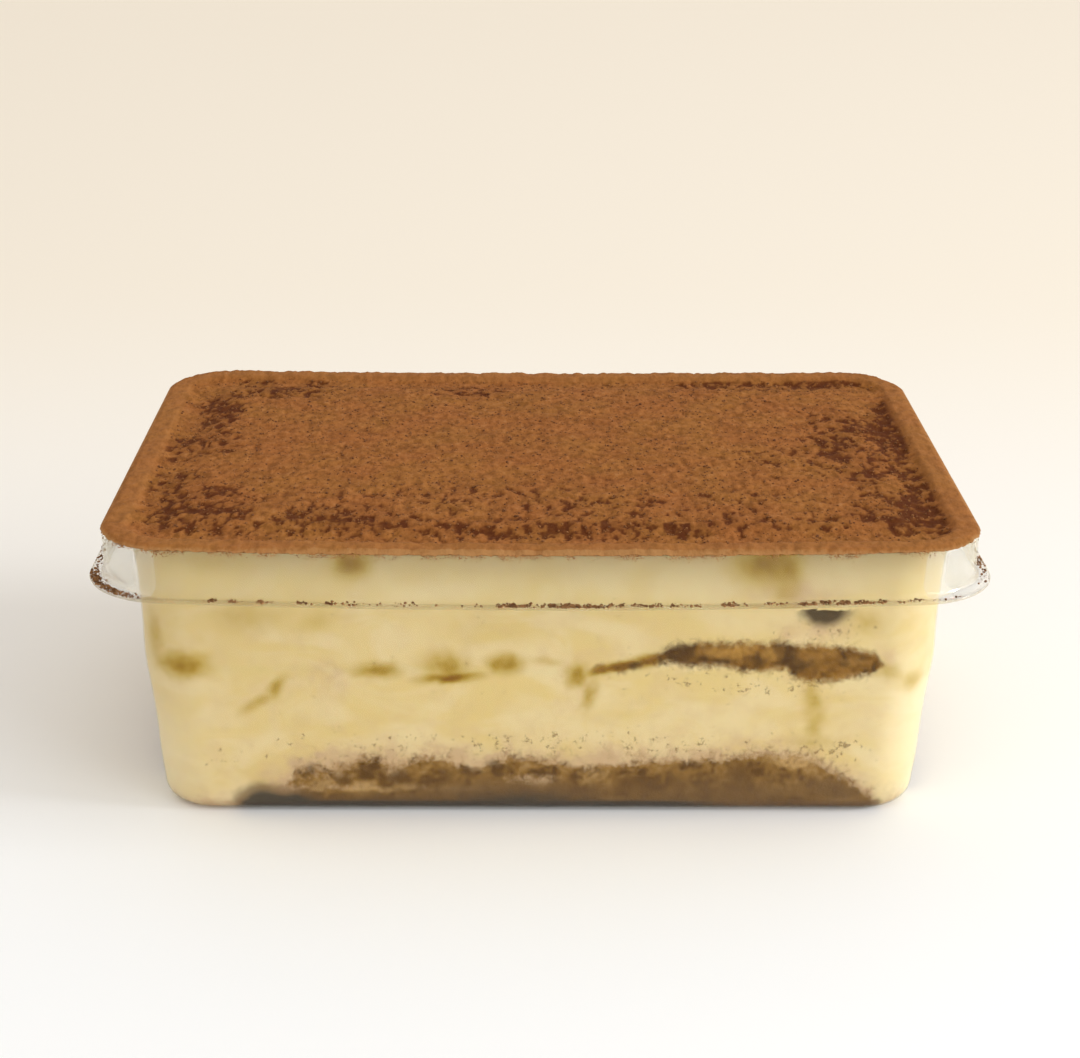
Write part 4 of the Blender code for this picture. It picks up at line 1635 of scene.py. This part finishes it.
@dataclass
class CocoaTop:
    """Cocoa over the cream and out across the rim to its outer edge."""

    form: TubForm
    finish: Cocoa = Cocoa()
    step: float = 0.00056
    depth: float = 0.00036
    turn_end: float = 150.0
    moat: float = 0.0605
    moat_reach: float = 0.0022
    plateau: float = 0.0613
    plateau_start: float = 0.004
    plateau_reach: float = 0.0170
    sunk: float = 0.00010
    crumbs: Unevenness = Unevenness(0.00026, 0.0017, 67)
    waves: Unevenness = Unevenness(0.00014, 0.0090, 71, 2)
    spots: Unevenness = Unevenness(1.0, 0.0019, 61)
    spot_blend: Range = (-0.22, 0.34)
    spot_level: float = 0.50
    spot_gain: float = 0.90
    pit: float = 0.00040
    plain_crowd: float = 0.10
    most_crowd: float = 1.1
    crowd_swing: Unevenness = Unevenness(0.8, 0.008, 53)
    faint: float = 0.46
    faint_blend: Range = (0.05, 0.40)
    gloom_blend: Range = (0.25, 1.0)
    inside_blend: Range = (0.0047, 0.0064)
    dry_blend: Range = (0.0046, 0.0060)
    thin_reach: float = 0.0011
    deep: float = 0.55
    edge_start: float = 30.0
    edge_limits: Range = (8.0, 84.0)
    edge_tufts: Unevenness = Unevenness(14.0, 0.0014, 91)
    cream_edge: float = 0.0595
    cream_inset: float = 0.012
    underside: float = 0.0592
    least_radius: float = 1e-6
    crease: float = 75.0

    def over_section(self) -> Points:
        """Section of the cocoa's upper face, from its foot on the skirt to the middle.

        Returns:
            Insets and heights, one pair to a row.
        """
        form, step = self.form, self.step
        outer, inner = form.rim_outer_round, form.rim_inner_round
        band = form.rim_band
        edge = arc(outer, form.height - outer, outer + self.depth, self.edge_start, 90, 1)
        turn = arc(band - inner, form.height - inner, inner + self.depth, 90, self.turn_end, 2)
        flat = run(edge[-1], turn[0], round((band - inner - outer) / step))
        start, crest = turn[-1]
        insets = np.linspace(start, form.width / 2, round((form.width / 2 - start) / step) + 1)[1:]
        drop = crest + (self.moat - crest) * smooth_step(start, start + self.moat_reach, insets)
        risen = smooth_step(start + self.plateau_start, self.plateau_reach, insets)
        rise = (self.plateau - self.moat) * risen
        return np.concatenate([edge, flat, turn, np.stack([insets, drop + rise], 1)])

    def under_section(self) -> Points:
        """Section of the underside, just inside the rim's sheet and the cream.

        Returns:
            Insets and heights, one pair to a row.
        """
        form = self.form
        outer, inner = form.rim_outer_round, form.rim_inner_round
        edge = arc(outer, form.height - outer, outer - self.sunk, self.edge_start, 90, 1)
        turn = arc(form.rim_band - inner, form.height - inner, inner - self.sunk, 90, 180, 3)
        foot = np.array([(form.rim_band + self.sunk, self.cream_edge), (self.cream_inset, self.underside)])
        return np.concatenate([edge, turn, foot])

    def grid_ring(self, long: int, short: int, ring: int, inset: Points, z: Points) -> Points:
        """Points of one ring of the grid, with its corners rounded.

        Args:
            long: Squares along the grid.
            short: Squares across it.
            ring: Number of the ring, from the outside.
            inset: Inset of each point, or of all.
            z: Height of each point, or of all.

        Returns:
            The settled points.
        """
        form = self.form
        share = RingPattern.squared(long, short, ring)
        half_x = form.length / 2 - inset
        half_y = np.maximum(form.width / 2 - inset, 0.0)
        corner = np.clip(form.rim_corner - inset, 0.0, None)
        x, y = share.centre_x * half_x, share.centre_y * half_y
        past_x = np.abs(x) - (half_x - corner)
        past_y = np.abs(y) - (half_y - corner)
        rounded = (past_x > 0) & (past_y > 0) & (corner > self.least_radius)
        safe = np.maximum(corner, self.least_radius)
        ahead = np.where(past_x >= past_y, past_y / safe, 2 - past_x / safe)
        angle = np.radians(45.0) * ahead
        sign_x, sign_y = np.sign(x), np.sign(y)
        x = np.where(rounded, sign_x * (half_x - corner + corner * np.cos(angle)), x)
        y = np.where(rounded, sign_y * (half_y - corner + corner * np.sin(angle)), y)
        return form.settled(x, y, z)

    def edge_ring(self, long: int, short: int, proud: float) -> Points:
        """Ragged ring in which the layer ends on the rim's outer round.

        Args:
            long: Squares along the grid.
            short: Squares across it.
            proud: How far the ring stands off the round.

        Returns:
            The settled points.
        """
        form = self.form
        level = self.grid_ring(long, short, 0, 0.0, 0.0)
        angle = np.radians(np.clip(self.edge_start + self.edge_tufts.at(level), *self.edge_limits))
        radius = form.rim_outer_round + proud
        inset = form.rim_outer_round - radius * np.cos(angle)
        z = form.height - form.rim_outer_round + radius * np.sin(angle)
        return self.grid_ring(long, short, 0, inset, z)

    def inset_at(self, places: Points) -> Points:
        """Inset from the rim's outline.

        Args:
            places: Places on the layer.

        Returns:
            An inset for each place.
        """
        corner = self.form.rim_corner
        past_x = np.abs(places[..., 0]) - (self.form.length / 2 - corner)
        past_y = np.abs(places[..., 1]) - (self.form.width / 2 - corner)
        outside = np.hypot(np.clip(past_x, 0, None), np.clip(past_y, 0, None))
        return corner - outside - np.minimum(np.maximum(past_x, past_y), 0)

    def looks(self, places: Points) -> tuple[dict[str, Points], Points]:
        """What the finishes read, and the relief, at places on the smooth layer.

        Args:
            places: The places.

        Returns:
            The strengths of damp specks, of gloom, of dry and thin cocoa and of loose grains, and the
            height of the relief.
        """
        level = places * np.array((1.0, 1.0, 0.0))
        inset = self.inset_at(level)
        inside = smooth_step(*self.inside_blend, inset)
        crowd = np.full(places.shape[:-1], self.plain_crowd)
        for blot in BLOTS:
            crowd = crowd + blot.at(places)
        crowd = np.clip(crowd * (1.0 + self.crowd_swing.at(level)), 0.0, self.most_crowd)
        drawn = level * np.array((1.0, self.deep, 1.0))
        spots = self.spots.at(drawn)
        speck = smooth_step(*self.spot_blend, spots - self.spot_level + self.spot_gain * crowd) * inside
        speck = speck * (self.faint + (1 - self.faint) * smooth_step(*self.faint_blend, crowd))
        lift = self.crumbs.at(drawn) + self.waves.at(level) - self.pit * speck * (0.5 + 0.5 * spots)
        dry = 1 - smooth_step(*self.dry_blend, inset)
        thin = 1 - smooth_step(0.0, self.thin_reach, inset)
        gloom = smooth_step(*self.gloom_blend, crowd) * inside
        return {"damp": speck, "gloom": gloom, "dry": dry, "thin": thin, "crowd": inside}, lift

    def upper_rings(self, long: int, short: int) -> tuple[list[Points], list[dict[str, Points]]]:
        """Rings of the upper face with its relief, the last one a line along the middle.

        Args:
            long: Squares along the grid.
            short: Squares across it.

        Returns:
            The points of each ring, and what the finishes read at them.
        """
        over = self.over_section()
        slope = np.gradient(over, axis=0)
        normals = np.stack([-slope[:, 1], slope[:, 0]], 1) / np.hypot(*slope.T)[:, None]
        last = len(over) - 1
        stack, looks = [], []
        for ring, (inset, z) in enumerate(over):
            flat = self.grid_ring(long, short, ring, inset, z)
            if ring == last:
                flat = flat[:long - 2 * ring + 1]
            look, lift = self.looks(flat)
            if ring == 0:
                points = self.edge_ring(long, short, self.depth)
            elif ring == last:
                points = flat + np.stack([0 * lift, 0 * lift, lift], 1)
            else:
                out, up = normals[ring]
                points = self.grid_ring(long, short, ring, inset + out * lift, z + up * lift)
            stack.append(points)
            looks.append(look)
        return stack, looks

    def build(self) -> bpy.types.Object:
        """Build the layer and dress it.

        Returns:
            The layer, for grains to be scattered on.
        """
        rings = len(self.over_section()) - 1
        short = 2 * rings
        long = short + round((self.form.length - self.form.width) / self.step)
        upper, looks = self.upper_rings(long, short)
        starts = [0]
        for ring in upper:
            starts.append(starts[-1] + len(ring))
        lower = [self.edge_ring(long, short, -self.sunk)]
        lower += [self.grid_ring(long, short, 0, inset, z) for inset, z in self.under_section()[1:]]
        faces = self.grid_faces(long, short, rings, starts)
        faces += self.underside_faces(starts[-1], len(lower), len(upper[0]))
        points = np.concatenate([*upper, *lower, [(0.0, 0.0, self.underside)]])
        rest = np.zeros(len(points) - starts[-1])
        numbers = {key: np.concatenate([*(look[key] for look in looks), rest]) for key in looks[0]}
        piece = make_piece("cocoa_top", points, faces, self.finish.material(), numbers, self.crease)
        settle_piece(piece, "cocoa_powder", "cocoa_layer")
        return piece

    @staticmethod
    def underside_faces(start: int, rings: int, count: int) -> list[tuple[int, ...]]:
        """Faces from the upper face's edge round the underside to its middle.

        Args:
            start: Number of the underside's first point.
            rings: Rings of the underside.
            count: Points to a ring.

        Returns:
            Quads from ring to ring, and triangles to the point that follows them all.
        """
        faces = []
        firsts = [0, *range(start, start + rings * count, count)]
        for first, second in zip(firsts, firsts[1:]):
            for step in range(count):
                following = (step + 1) % count
                faces.append((first + following, first + step, second + step, second + following))
        inner = fan(firsts[-1], count, start + rings * count)
        return faces + [(following, here, tip) for here, following, tip in inner]

    @staticmethod
    def grid_faces(long: int, short: int, rings: int, starts: Sequence[int]) -> list[tuple[int, ...]]:
        """Quads of a grid whose points are numbered ring by ring.

        Args:
            long: Squares along the grid.
            short: Squares across it.
            rings: Number of rings round the line in the middle.
            starts: Number of each ring's first point.

        Returns:
            The quads.
        """
        number = np.zeros((long + 1, short + 1), dtype=int)
        for ring in range(rings + 1):
            low_x, high_x = ring, long - ring
            low_y, high_y = ring, short - ring
            if low_y == high_y:
                number[low_x:high_x + 1, low_y] = starts[ring] + np.arange(high_x - low_x + 1)
                continue
            wide, deep = high_x - low_x, high_y - low_y
            at = starts[ring]
            number[low_x:high_x, low_y] = at + np.arange(wide)
            number[high_x, low_y:high_y] = at + wide + np.arange(deep)
            number[high_x:low_x:-1, high_y] = at + wide + deep + np.arange(wide)
            number[low_x, high_y:low_y:-1] = at + 2 * wide + deep + np.arange(deep)
        quads = np.stack([number[:-1, :-1], number[1:, :-1], number[1:, 1:], number[:-1, 1:]], -1)
        return quads.reshape(-1, 4).tolist()


@dataclass(frozen=True)
class Scatter:
    """Grains that Geometry Nodes scatter over a surface, crowded where its crowd attribute says."""

    name: str
    slot: str
    crowding: float
    least: float
    most: float
    seed: int
    unevenness: float = 0.4
    bumps_per_metre: float = 2600.0
    smallness: float = 2.6
    turn: float = 6.28

    def sizes(self) -> dict[str, tuple[str, float]]:
        """Inputs of the node tree.

        Returns:
            The kind and value of each, by its label.
        """
        number = "NodeSocketFloat"
        return {
            "Grains per square metre": (number, self.crowding), "Least radius": (number, self.least),
            "Most radius": (number, self.most), "Unevenness": (number, self.unevenness * self.least),
            "Seed": ("NodeSocketInt", self.seed),
        }

    def tree(self, material: bpy.types.Material) -> bpy.types.NodeTree:
        """Build the node tree.

        Args:
            material: Finish of the grains.

        Returns:
            The tree, which turns a surface into the grains that lie on it.
        """
        tree = bpy.data.node_groups.new(self.name, "GeometryNodeTree")
        tree.interface.new_socket("Surface", in_out="INPUT", socket_type="NodeSocketGeometry")
        for label, (kind, _value) in self.sizes().items():
            tree.interface.new_socket(label, in_out="INPUT", socket_type=kind)
        tree.interface.new_socket("Grains", in_out="OUTPUT", socket_type="NodeSocketGeometry")

        def add(kind: str, settings: dict, inputs: dict) -> bpy.types.NodeOutputs:
            """Add a node.

            Args:
                kind: Type of the node.
                settings: Its properties, set before its sockets are.
                inputs: Values or links of its sockets, by name or number.

            Returns:
                Its outputs.
            """
            made = tree.nodes.new(kind)
            for key, value in settings.items():
                setattr(made, key, value)
            for key, value in inputs.items():
                if isinstance(value, bpy.types.NodeSocket):
                    tree.links.new(value, made.inputs[key])
                else:
                    made.inputs[key].default_value = value
            return made.outputs

        given = add("NodeGroupInput", {}, {})
        crowd = add("GeometryNodeInputNamedAttribute", {"data_type": "FLOAT"}, {"Name": "crowd"})
        density = add("ShaderNodeMath", {"operation": "MULTIPLY"},
                      {0: crowd["Attribute"], 1: given["Grains per square metre"]})
        points = add("GeometryNodeDistributePointsOnFaces", {"distribute_method": "RANDOM"},
                     {"Mesh": given["Surface"], "Density": density[0], "Seed": given["Seed"]})
        share = add("FunctionNodeRandomValue", {"data_type": "FLOAT"},
                    {2: 0.0, 3: 1.0, "Seed": given["Seed"]})
        mostly_small = add("ShaderNodeMath", {"operation": "POWER"}, {0: share[1], 1: self.smallness})
        radius = add("ShaderNodeMapRange", {}, {
            0: mostly_small[0], 3: given["Least radius"], 4: given["Most radius"]})
        turn = add("FunctionNodeRandomValue", {"data_type": "FLOAT_VECTOR"},
                   {0: (0.0,) * 3, 1: (self.turn,) * 3, "Seed": given["Seed"]})
        ball = add("GeometryNodeMeshIcoSphere", {}, {"Radius": 1.0, "Subdivisions": 1})
        grains = add("GeometryNodeInstanceOnPoints", {}, {
            "Points": points["Points"], "Instance": ball["Mesh"], "Rotation": turn[0], "Scale": radius[0]})
        real = add("GeometryNodeRealizeInstances", {}, {0: grains[0]})
        place = add("GeometryNodeInputPosition", {}, {})
        bumps = add("ShaderNodeTexNoise", {}, {"Vector": place[0], "Scale": self.bumps_per_metre})
        middle = add("ShaderNodeVectorMath", {"operation": "SUBTRACT"},
                     {0: bumps["Color"], 1: (0.5,) * 3})
        offset = add("ShaderNodeVectorMath", {"operation": "SCALE"},
                     {0: middle[0], "Scale": given["Unevenness"]})
        shaped = add("GeometryNodeSetPosition", {}, {"Geometry": real[0], "Offset": offset[0]})
        dressed = add("GeometryNodeSetMaterial", {}, {"Geometry": shaped[0], "Material": material})
        add("NodeGroupOutput", {}, {0: dressed[0]})
        return tree

    def build(self, host: bpy.types.Object, material: bpy.types.Material) -> None:
        """Scatter the grains over a host and dress them, as one plain mesh.

        Args:
            host: Surface whose crowd attribute says where grains lie.
            material: Finish of the grains.
        """
        modifier = host.modifiers.new(self.name, "NODES")
        modifier.node_group = self.tree(material)
        labels = {item.name: item.identifier for item in modifier.node_group.interface.items_tree
                  if item.in_out == "INPUT"}
        for label, (_kind, value) in self.sizes().items():
            modifier[labels[label]] = value
        graph = bpy.context.evaluated_depsgraph_get()
        mesh = bpy.data.meshes.new_from_object(host.evaluated_get(graph))
        host.modifiers.remove(modifier)
        mesh.name = self.name
        piece = bpy.data.objects.new(self.name, mesh)
        bpy.context.scene.collection.objects.link(piece)
        settle_piece(piece, self.slot)


@dataclass(frozen=True)
class Span:
    """Stretch of the flange's front edge on which dust lies."""

    start: float
    end: float
    crowding: float
    blur: float = 0.0006

    def at(self, x: Points) -> Points:
        """Crowding of the dust at places along the flange."""
        inside = window((self.start - self.blur, self.start), (self.end, self.end + self.blur), x)
        return self.crowding * inside


DUST_SPANS = tuple(Span(*row) for row in (
    (-0.0648, -0.063, 0.8), (-0.06, -0.0588, 0.55), (-0.0545, -0.0518, 0.7), (-0.0468, -0.046, 0.5),
    (-0.0412, -0.0402, 0.45), (-0.038, -0.0356, 0.4), (-0.0311, -0.0244, 0.1), (-0.0122, -0.0116, 0.35),
    (-0.0083, 0.001, 0.9), (0.0018, 0.0114, 1.0), (0.0132, 0.023, 0.62), (0.0244, 0.0302, 0.24),
    (0.035, 0.0392, 0.75), (0.0436, 0.0466, 0.45), (0.05, 0.0592, 0.85), (0.0608, 0.0668, 0.6),
    (0.0694, 0.0736, 0.45),
))


@dataclass
class Dust:
    """Cocoa that fell on the flange, in clumps along its outer edge."""

    form: TubForm
    finish: Crumb = Crumb("cocoa_dust", linear(150, 108, 66), linear(98, 64, 36))
    veil: Crumb = Crumb("cocoa_veil", linear(186, 136, 84), linear(140, 92, 50))
    ring_steps: tuple[int, int, int] = (24, 320, 160)
    line: float = 0.0019
    band: float = 0.0025
    steps: int = 5
    first_row: float = 0.00005
    edge_share: float = 0.3
    stray: float = 0.012
    ahead: float = 0.95
    clumps: Unevenness = Unevenness(1.0, 0.0060, 81)
    clump_blend: Range = (0.05, 0.45)
    clump_share: float = 0.35
    specks: Unevenness = Unevenness(1.0, 0.0015, 83, 2)
    speck_blend: Range = (-0.20, 0.15)
    speck_least: float = 0.1
    speck_gain: float = 1.3
    left_share: float = 0.8
    left_ahead: Range = (-0.05, 0.15)
    left_aside: Range = (0.25, 0.60)
    right_share: float = 0.07
    right_ahead: Range = (-0.1, 0.1)
    right_aside: Range = (0.86, 0.96)
    thinned: Range = (0.4, 0.8)
    fringe: Range = (0.0003, 0.0022)
    patches: Unevenness = Unevenness(1.0, 0.0070, 87)
    patch_blend: Range = (-0.35, 0.45)
    lying: Scatter = Scatter("flange_dust", "cocoa_powder", 2.4e7, 0.00007, 0.00034, 5)
    clinging: Scatter = Scatter("rim_dust", "cocoa_powder", 4.0e7, 0.00007, 0.00018, 5)

    def crowd(self, places: Points, from_edge: Points) -> Points:
        """How crowded the dust is at places on the flange.

        Args:
            places: Rows of places round the tub.
            from_edge: Distance of each row from the flange's edge.

        Returns:
            Crowding from 0 to 1.
        """
        x = places[..., 0]
        out_x = np.broadcast_to(self.pattern.out_x, x.shape)
        ahead = -np.broadcast_to(self.pattern.out_y, x.shape)
        clumps = self.clump_share * smooth_step(*self.clump_blend, self.clumps.at(places))
        front = np.full(x.shape, self.stray)
        for span in DUST_SPANS:
            front = np.maximum(front, span.at(x))
        specks = smooth_step(*self.speck_blend, self.specks.at(places))
        front = front * (self.speck_least + self.speck_gain * specks)
        near = 1 - smooth_step(0.5 * self.line, self.line, from_edge)
        left = smooth_step(*self.left_ahead, ahead) * smooth_step(*self.left_aside, -out_x)
        right = smooth_step(*self.right_ahead, ahead) * smooth_step(*self.right_aside, out_x)
        packed = np.maximum(self.left_share * left, self.right_share * right)
        packed = packed * (1 - smooth_step(*self.thinned, from_edge / self.band))
        return np.maximum(np.where(ahead > self.ahead, front, clumps) * near, packed)

    def build(self) -> None:
        """Scatter the dust, and a fringe of it below the cocoa on the rim."""
        form = self.form
        self.pattern = RingPattern.stepped(*self.ring_steps)
        from_edge = np.linspace(self.first_row, self.band, self.steps)[:, None]
        inset = from_edge - form.flange_reach + self.edge_share * form.sheet
        flat = form.ring(self.pattern, inset, form.flange_top, form.rim_corner - inset)
        crowd = self.crowd(flat, from_edge)
        below = np.linspace(*self.fringe, self.steps)[:, None]
        skirt = form.ring(self.pattern, 0.0, form.height - below, form.rim_corner)
        patchy = smooth_step(*self.patch_blend, self.patches.at(skirt))
        thinning = (1 - smooth_step(*self.fringe, below)) ** 2
        dust = self.finish.material()
        veil = self.veil.material()
        for grains, rings, share, material in (
            (self.lying, flat, crowd, dust),
            (self.clinging, skirt, thinning * patchy, veil),
        ):
            host = make_piece("dust_host", rings, ring_faces(*rings.shape[:2]), material, {"crowd": share})
            grains.build(host, material)
            bpy.data.objects.remove(host)


@dataclass(frozen=True)
class Lamp:
    """Square soft lamp that faces the tub."""

    name: str
    place: Triple
    side: float
    watts: float
    colour: Colour
    aim: Triple = (0.0, 0.0, 0.03)

    def hang(self) -> None:
        """Hang the lamp in the scene."""
        data = bpy.data.lights.new(self.name, "AREA")
        data.shape = "SQUARE"
        data.size = self.side
        data.energy = self.watts
        data.color = self.colour
        lamp = bpy.data.objects.new(self.name, data)
        lamp.location = self.place
        aim = Vector(self.aim) - Vector(self.place)
        lamp.rotation_euler = aim.to_track_quat("-Z", "Y").to_euler()
        bpy.context.scene.collection.objects.link(lamp)


LAMPS = (
    Lamp("key", (2.5, -0.32, 1.16), 0.9, 39.0, (0.89, 0.93, 1.0)),
    Lamp("window", (0.66, -0.62, 0.45), 0.5, 2.3, (0.92, 0.96, 1.0)),
    Lamp("wall", (0.0, 2.40, 1.30), 2.0, 4.0, (1.0, 0.84, 0.60)),
)


@dataclass
class Stage:
    """Plain pale floor, soft studio light and the camera."""

    eye: Triple = (-0.0053, -0.4623, 0.2135)
    down: float = 20.25
    aside: float = 0.70
    roll: float = 0.383
    lens: float = 74.6
    sensor: float = 36.0
    nearest: float = 0.01
    floor_half: float = 4.0
    room: Colour = (1.0, 0.955, 0.93)
    room_strength: float = 0.80

    def camera(self) -> None:
        """Set up the camera at the photograph's viewing angle."""
        data = bpy.data.cameras.new("camera")
        data.sensor_fit = "HORIZONTAL"
        data.sensor_width = self.sensor
        data.lens = self.lens
        data.clip_start = self.nearest
        camera = bpy.data.objects.new("camera", data)
        camera.location = self.eye
        level = Euler((math.radians(90 - self.down), 0.0, math.radians(-self.aside))).to_matrix()
        rolled = level @ Euler((0.0, 0.0, math.radians(self.roll))).to_matrix()
        camera.rotation_euler = rolled.to_euler()
        bpy.context.scene.collection.objects.link(camera)
        bpy.context.scene.camera = camera

    def floor(self) -> None:
        """Lay the floor."""
        half = self.floor_half
        corners = [(-half, -half, 0.0), (half, -half, 0.0), (half, half, 0.0), (-half, half, 0.0)]
        mesh = bpy.data.meshes.new("floor")
        mesh.from_pydata(corners, [], [(0, 1, 2, 3)])
        mesh.materials.append(FloorFinish().material())
        floor = bpy.data.objects.new("floor", mesh)
        bpy.context.scene.collection.objects.link(floor)

    def build(self) -> None:
        """Set up everything round the object."""
        self.camera()
        self.floor()
        for lamp in LAMPS:
            lamp.hang()
        world = bpy.data.worlds.new("soft_room")
        world.use_nodes = True
        shade = world.node_tree.nodes["Background"]
        shade.inputs["Color"].default_value = (*self.room, 1.0)
        shade.inputs["Strength"].default_value = self.room_strength
        scene = bpy.context.scene
        scene.world = world
        scene.view_settings.view_transform = "Standard"


def main() -> None:
    """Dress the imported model."""
    logging.basicConfig(level=logging.INFO, format="%(name)s %(message)s")
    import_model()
    Stage().build()
    form = TubForm.from_frame()
    Tub(form).build()
    Filling(form).build()
    top = CocoaTop(form).build()
    crumbs = Crumb("cocoa_crumbs", linear(146, 96, 50), linear(96, 56, 28))
    grains = Scatter("cocoa_grains", "cocoa_powder", 3.4e5, 0.00012, 0.00038, 3)
    grains.build(top, crumbs.material())
    Dust(form).build()


if __name__ == "__main__":
    main()
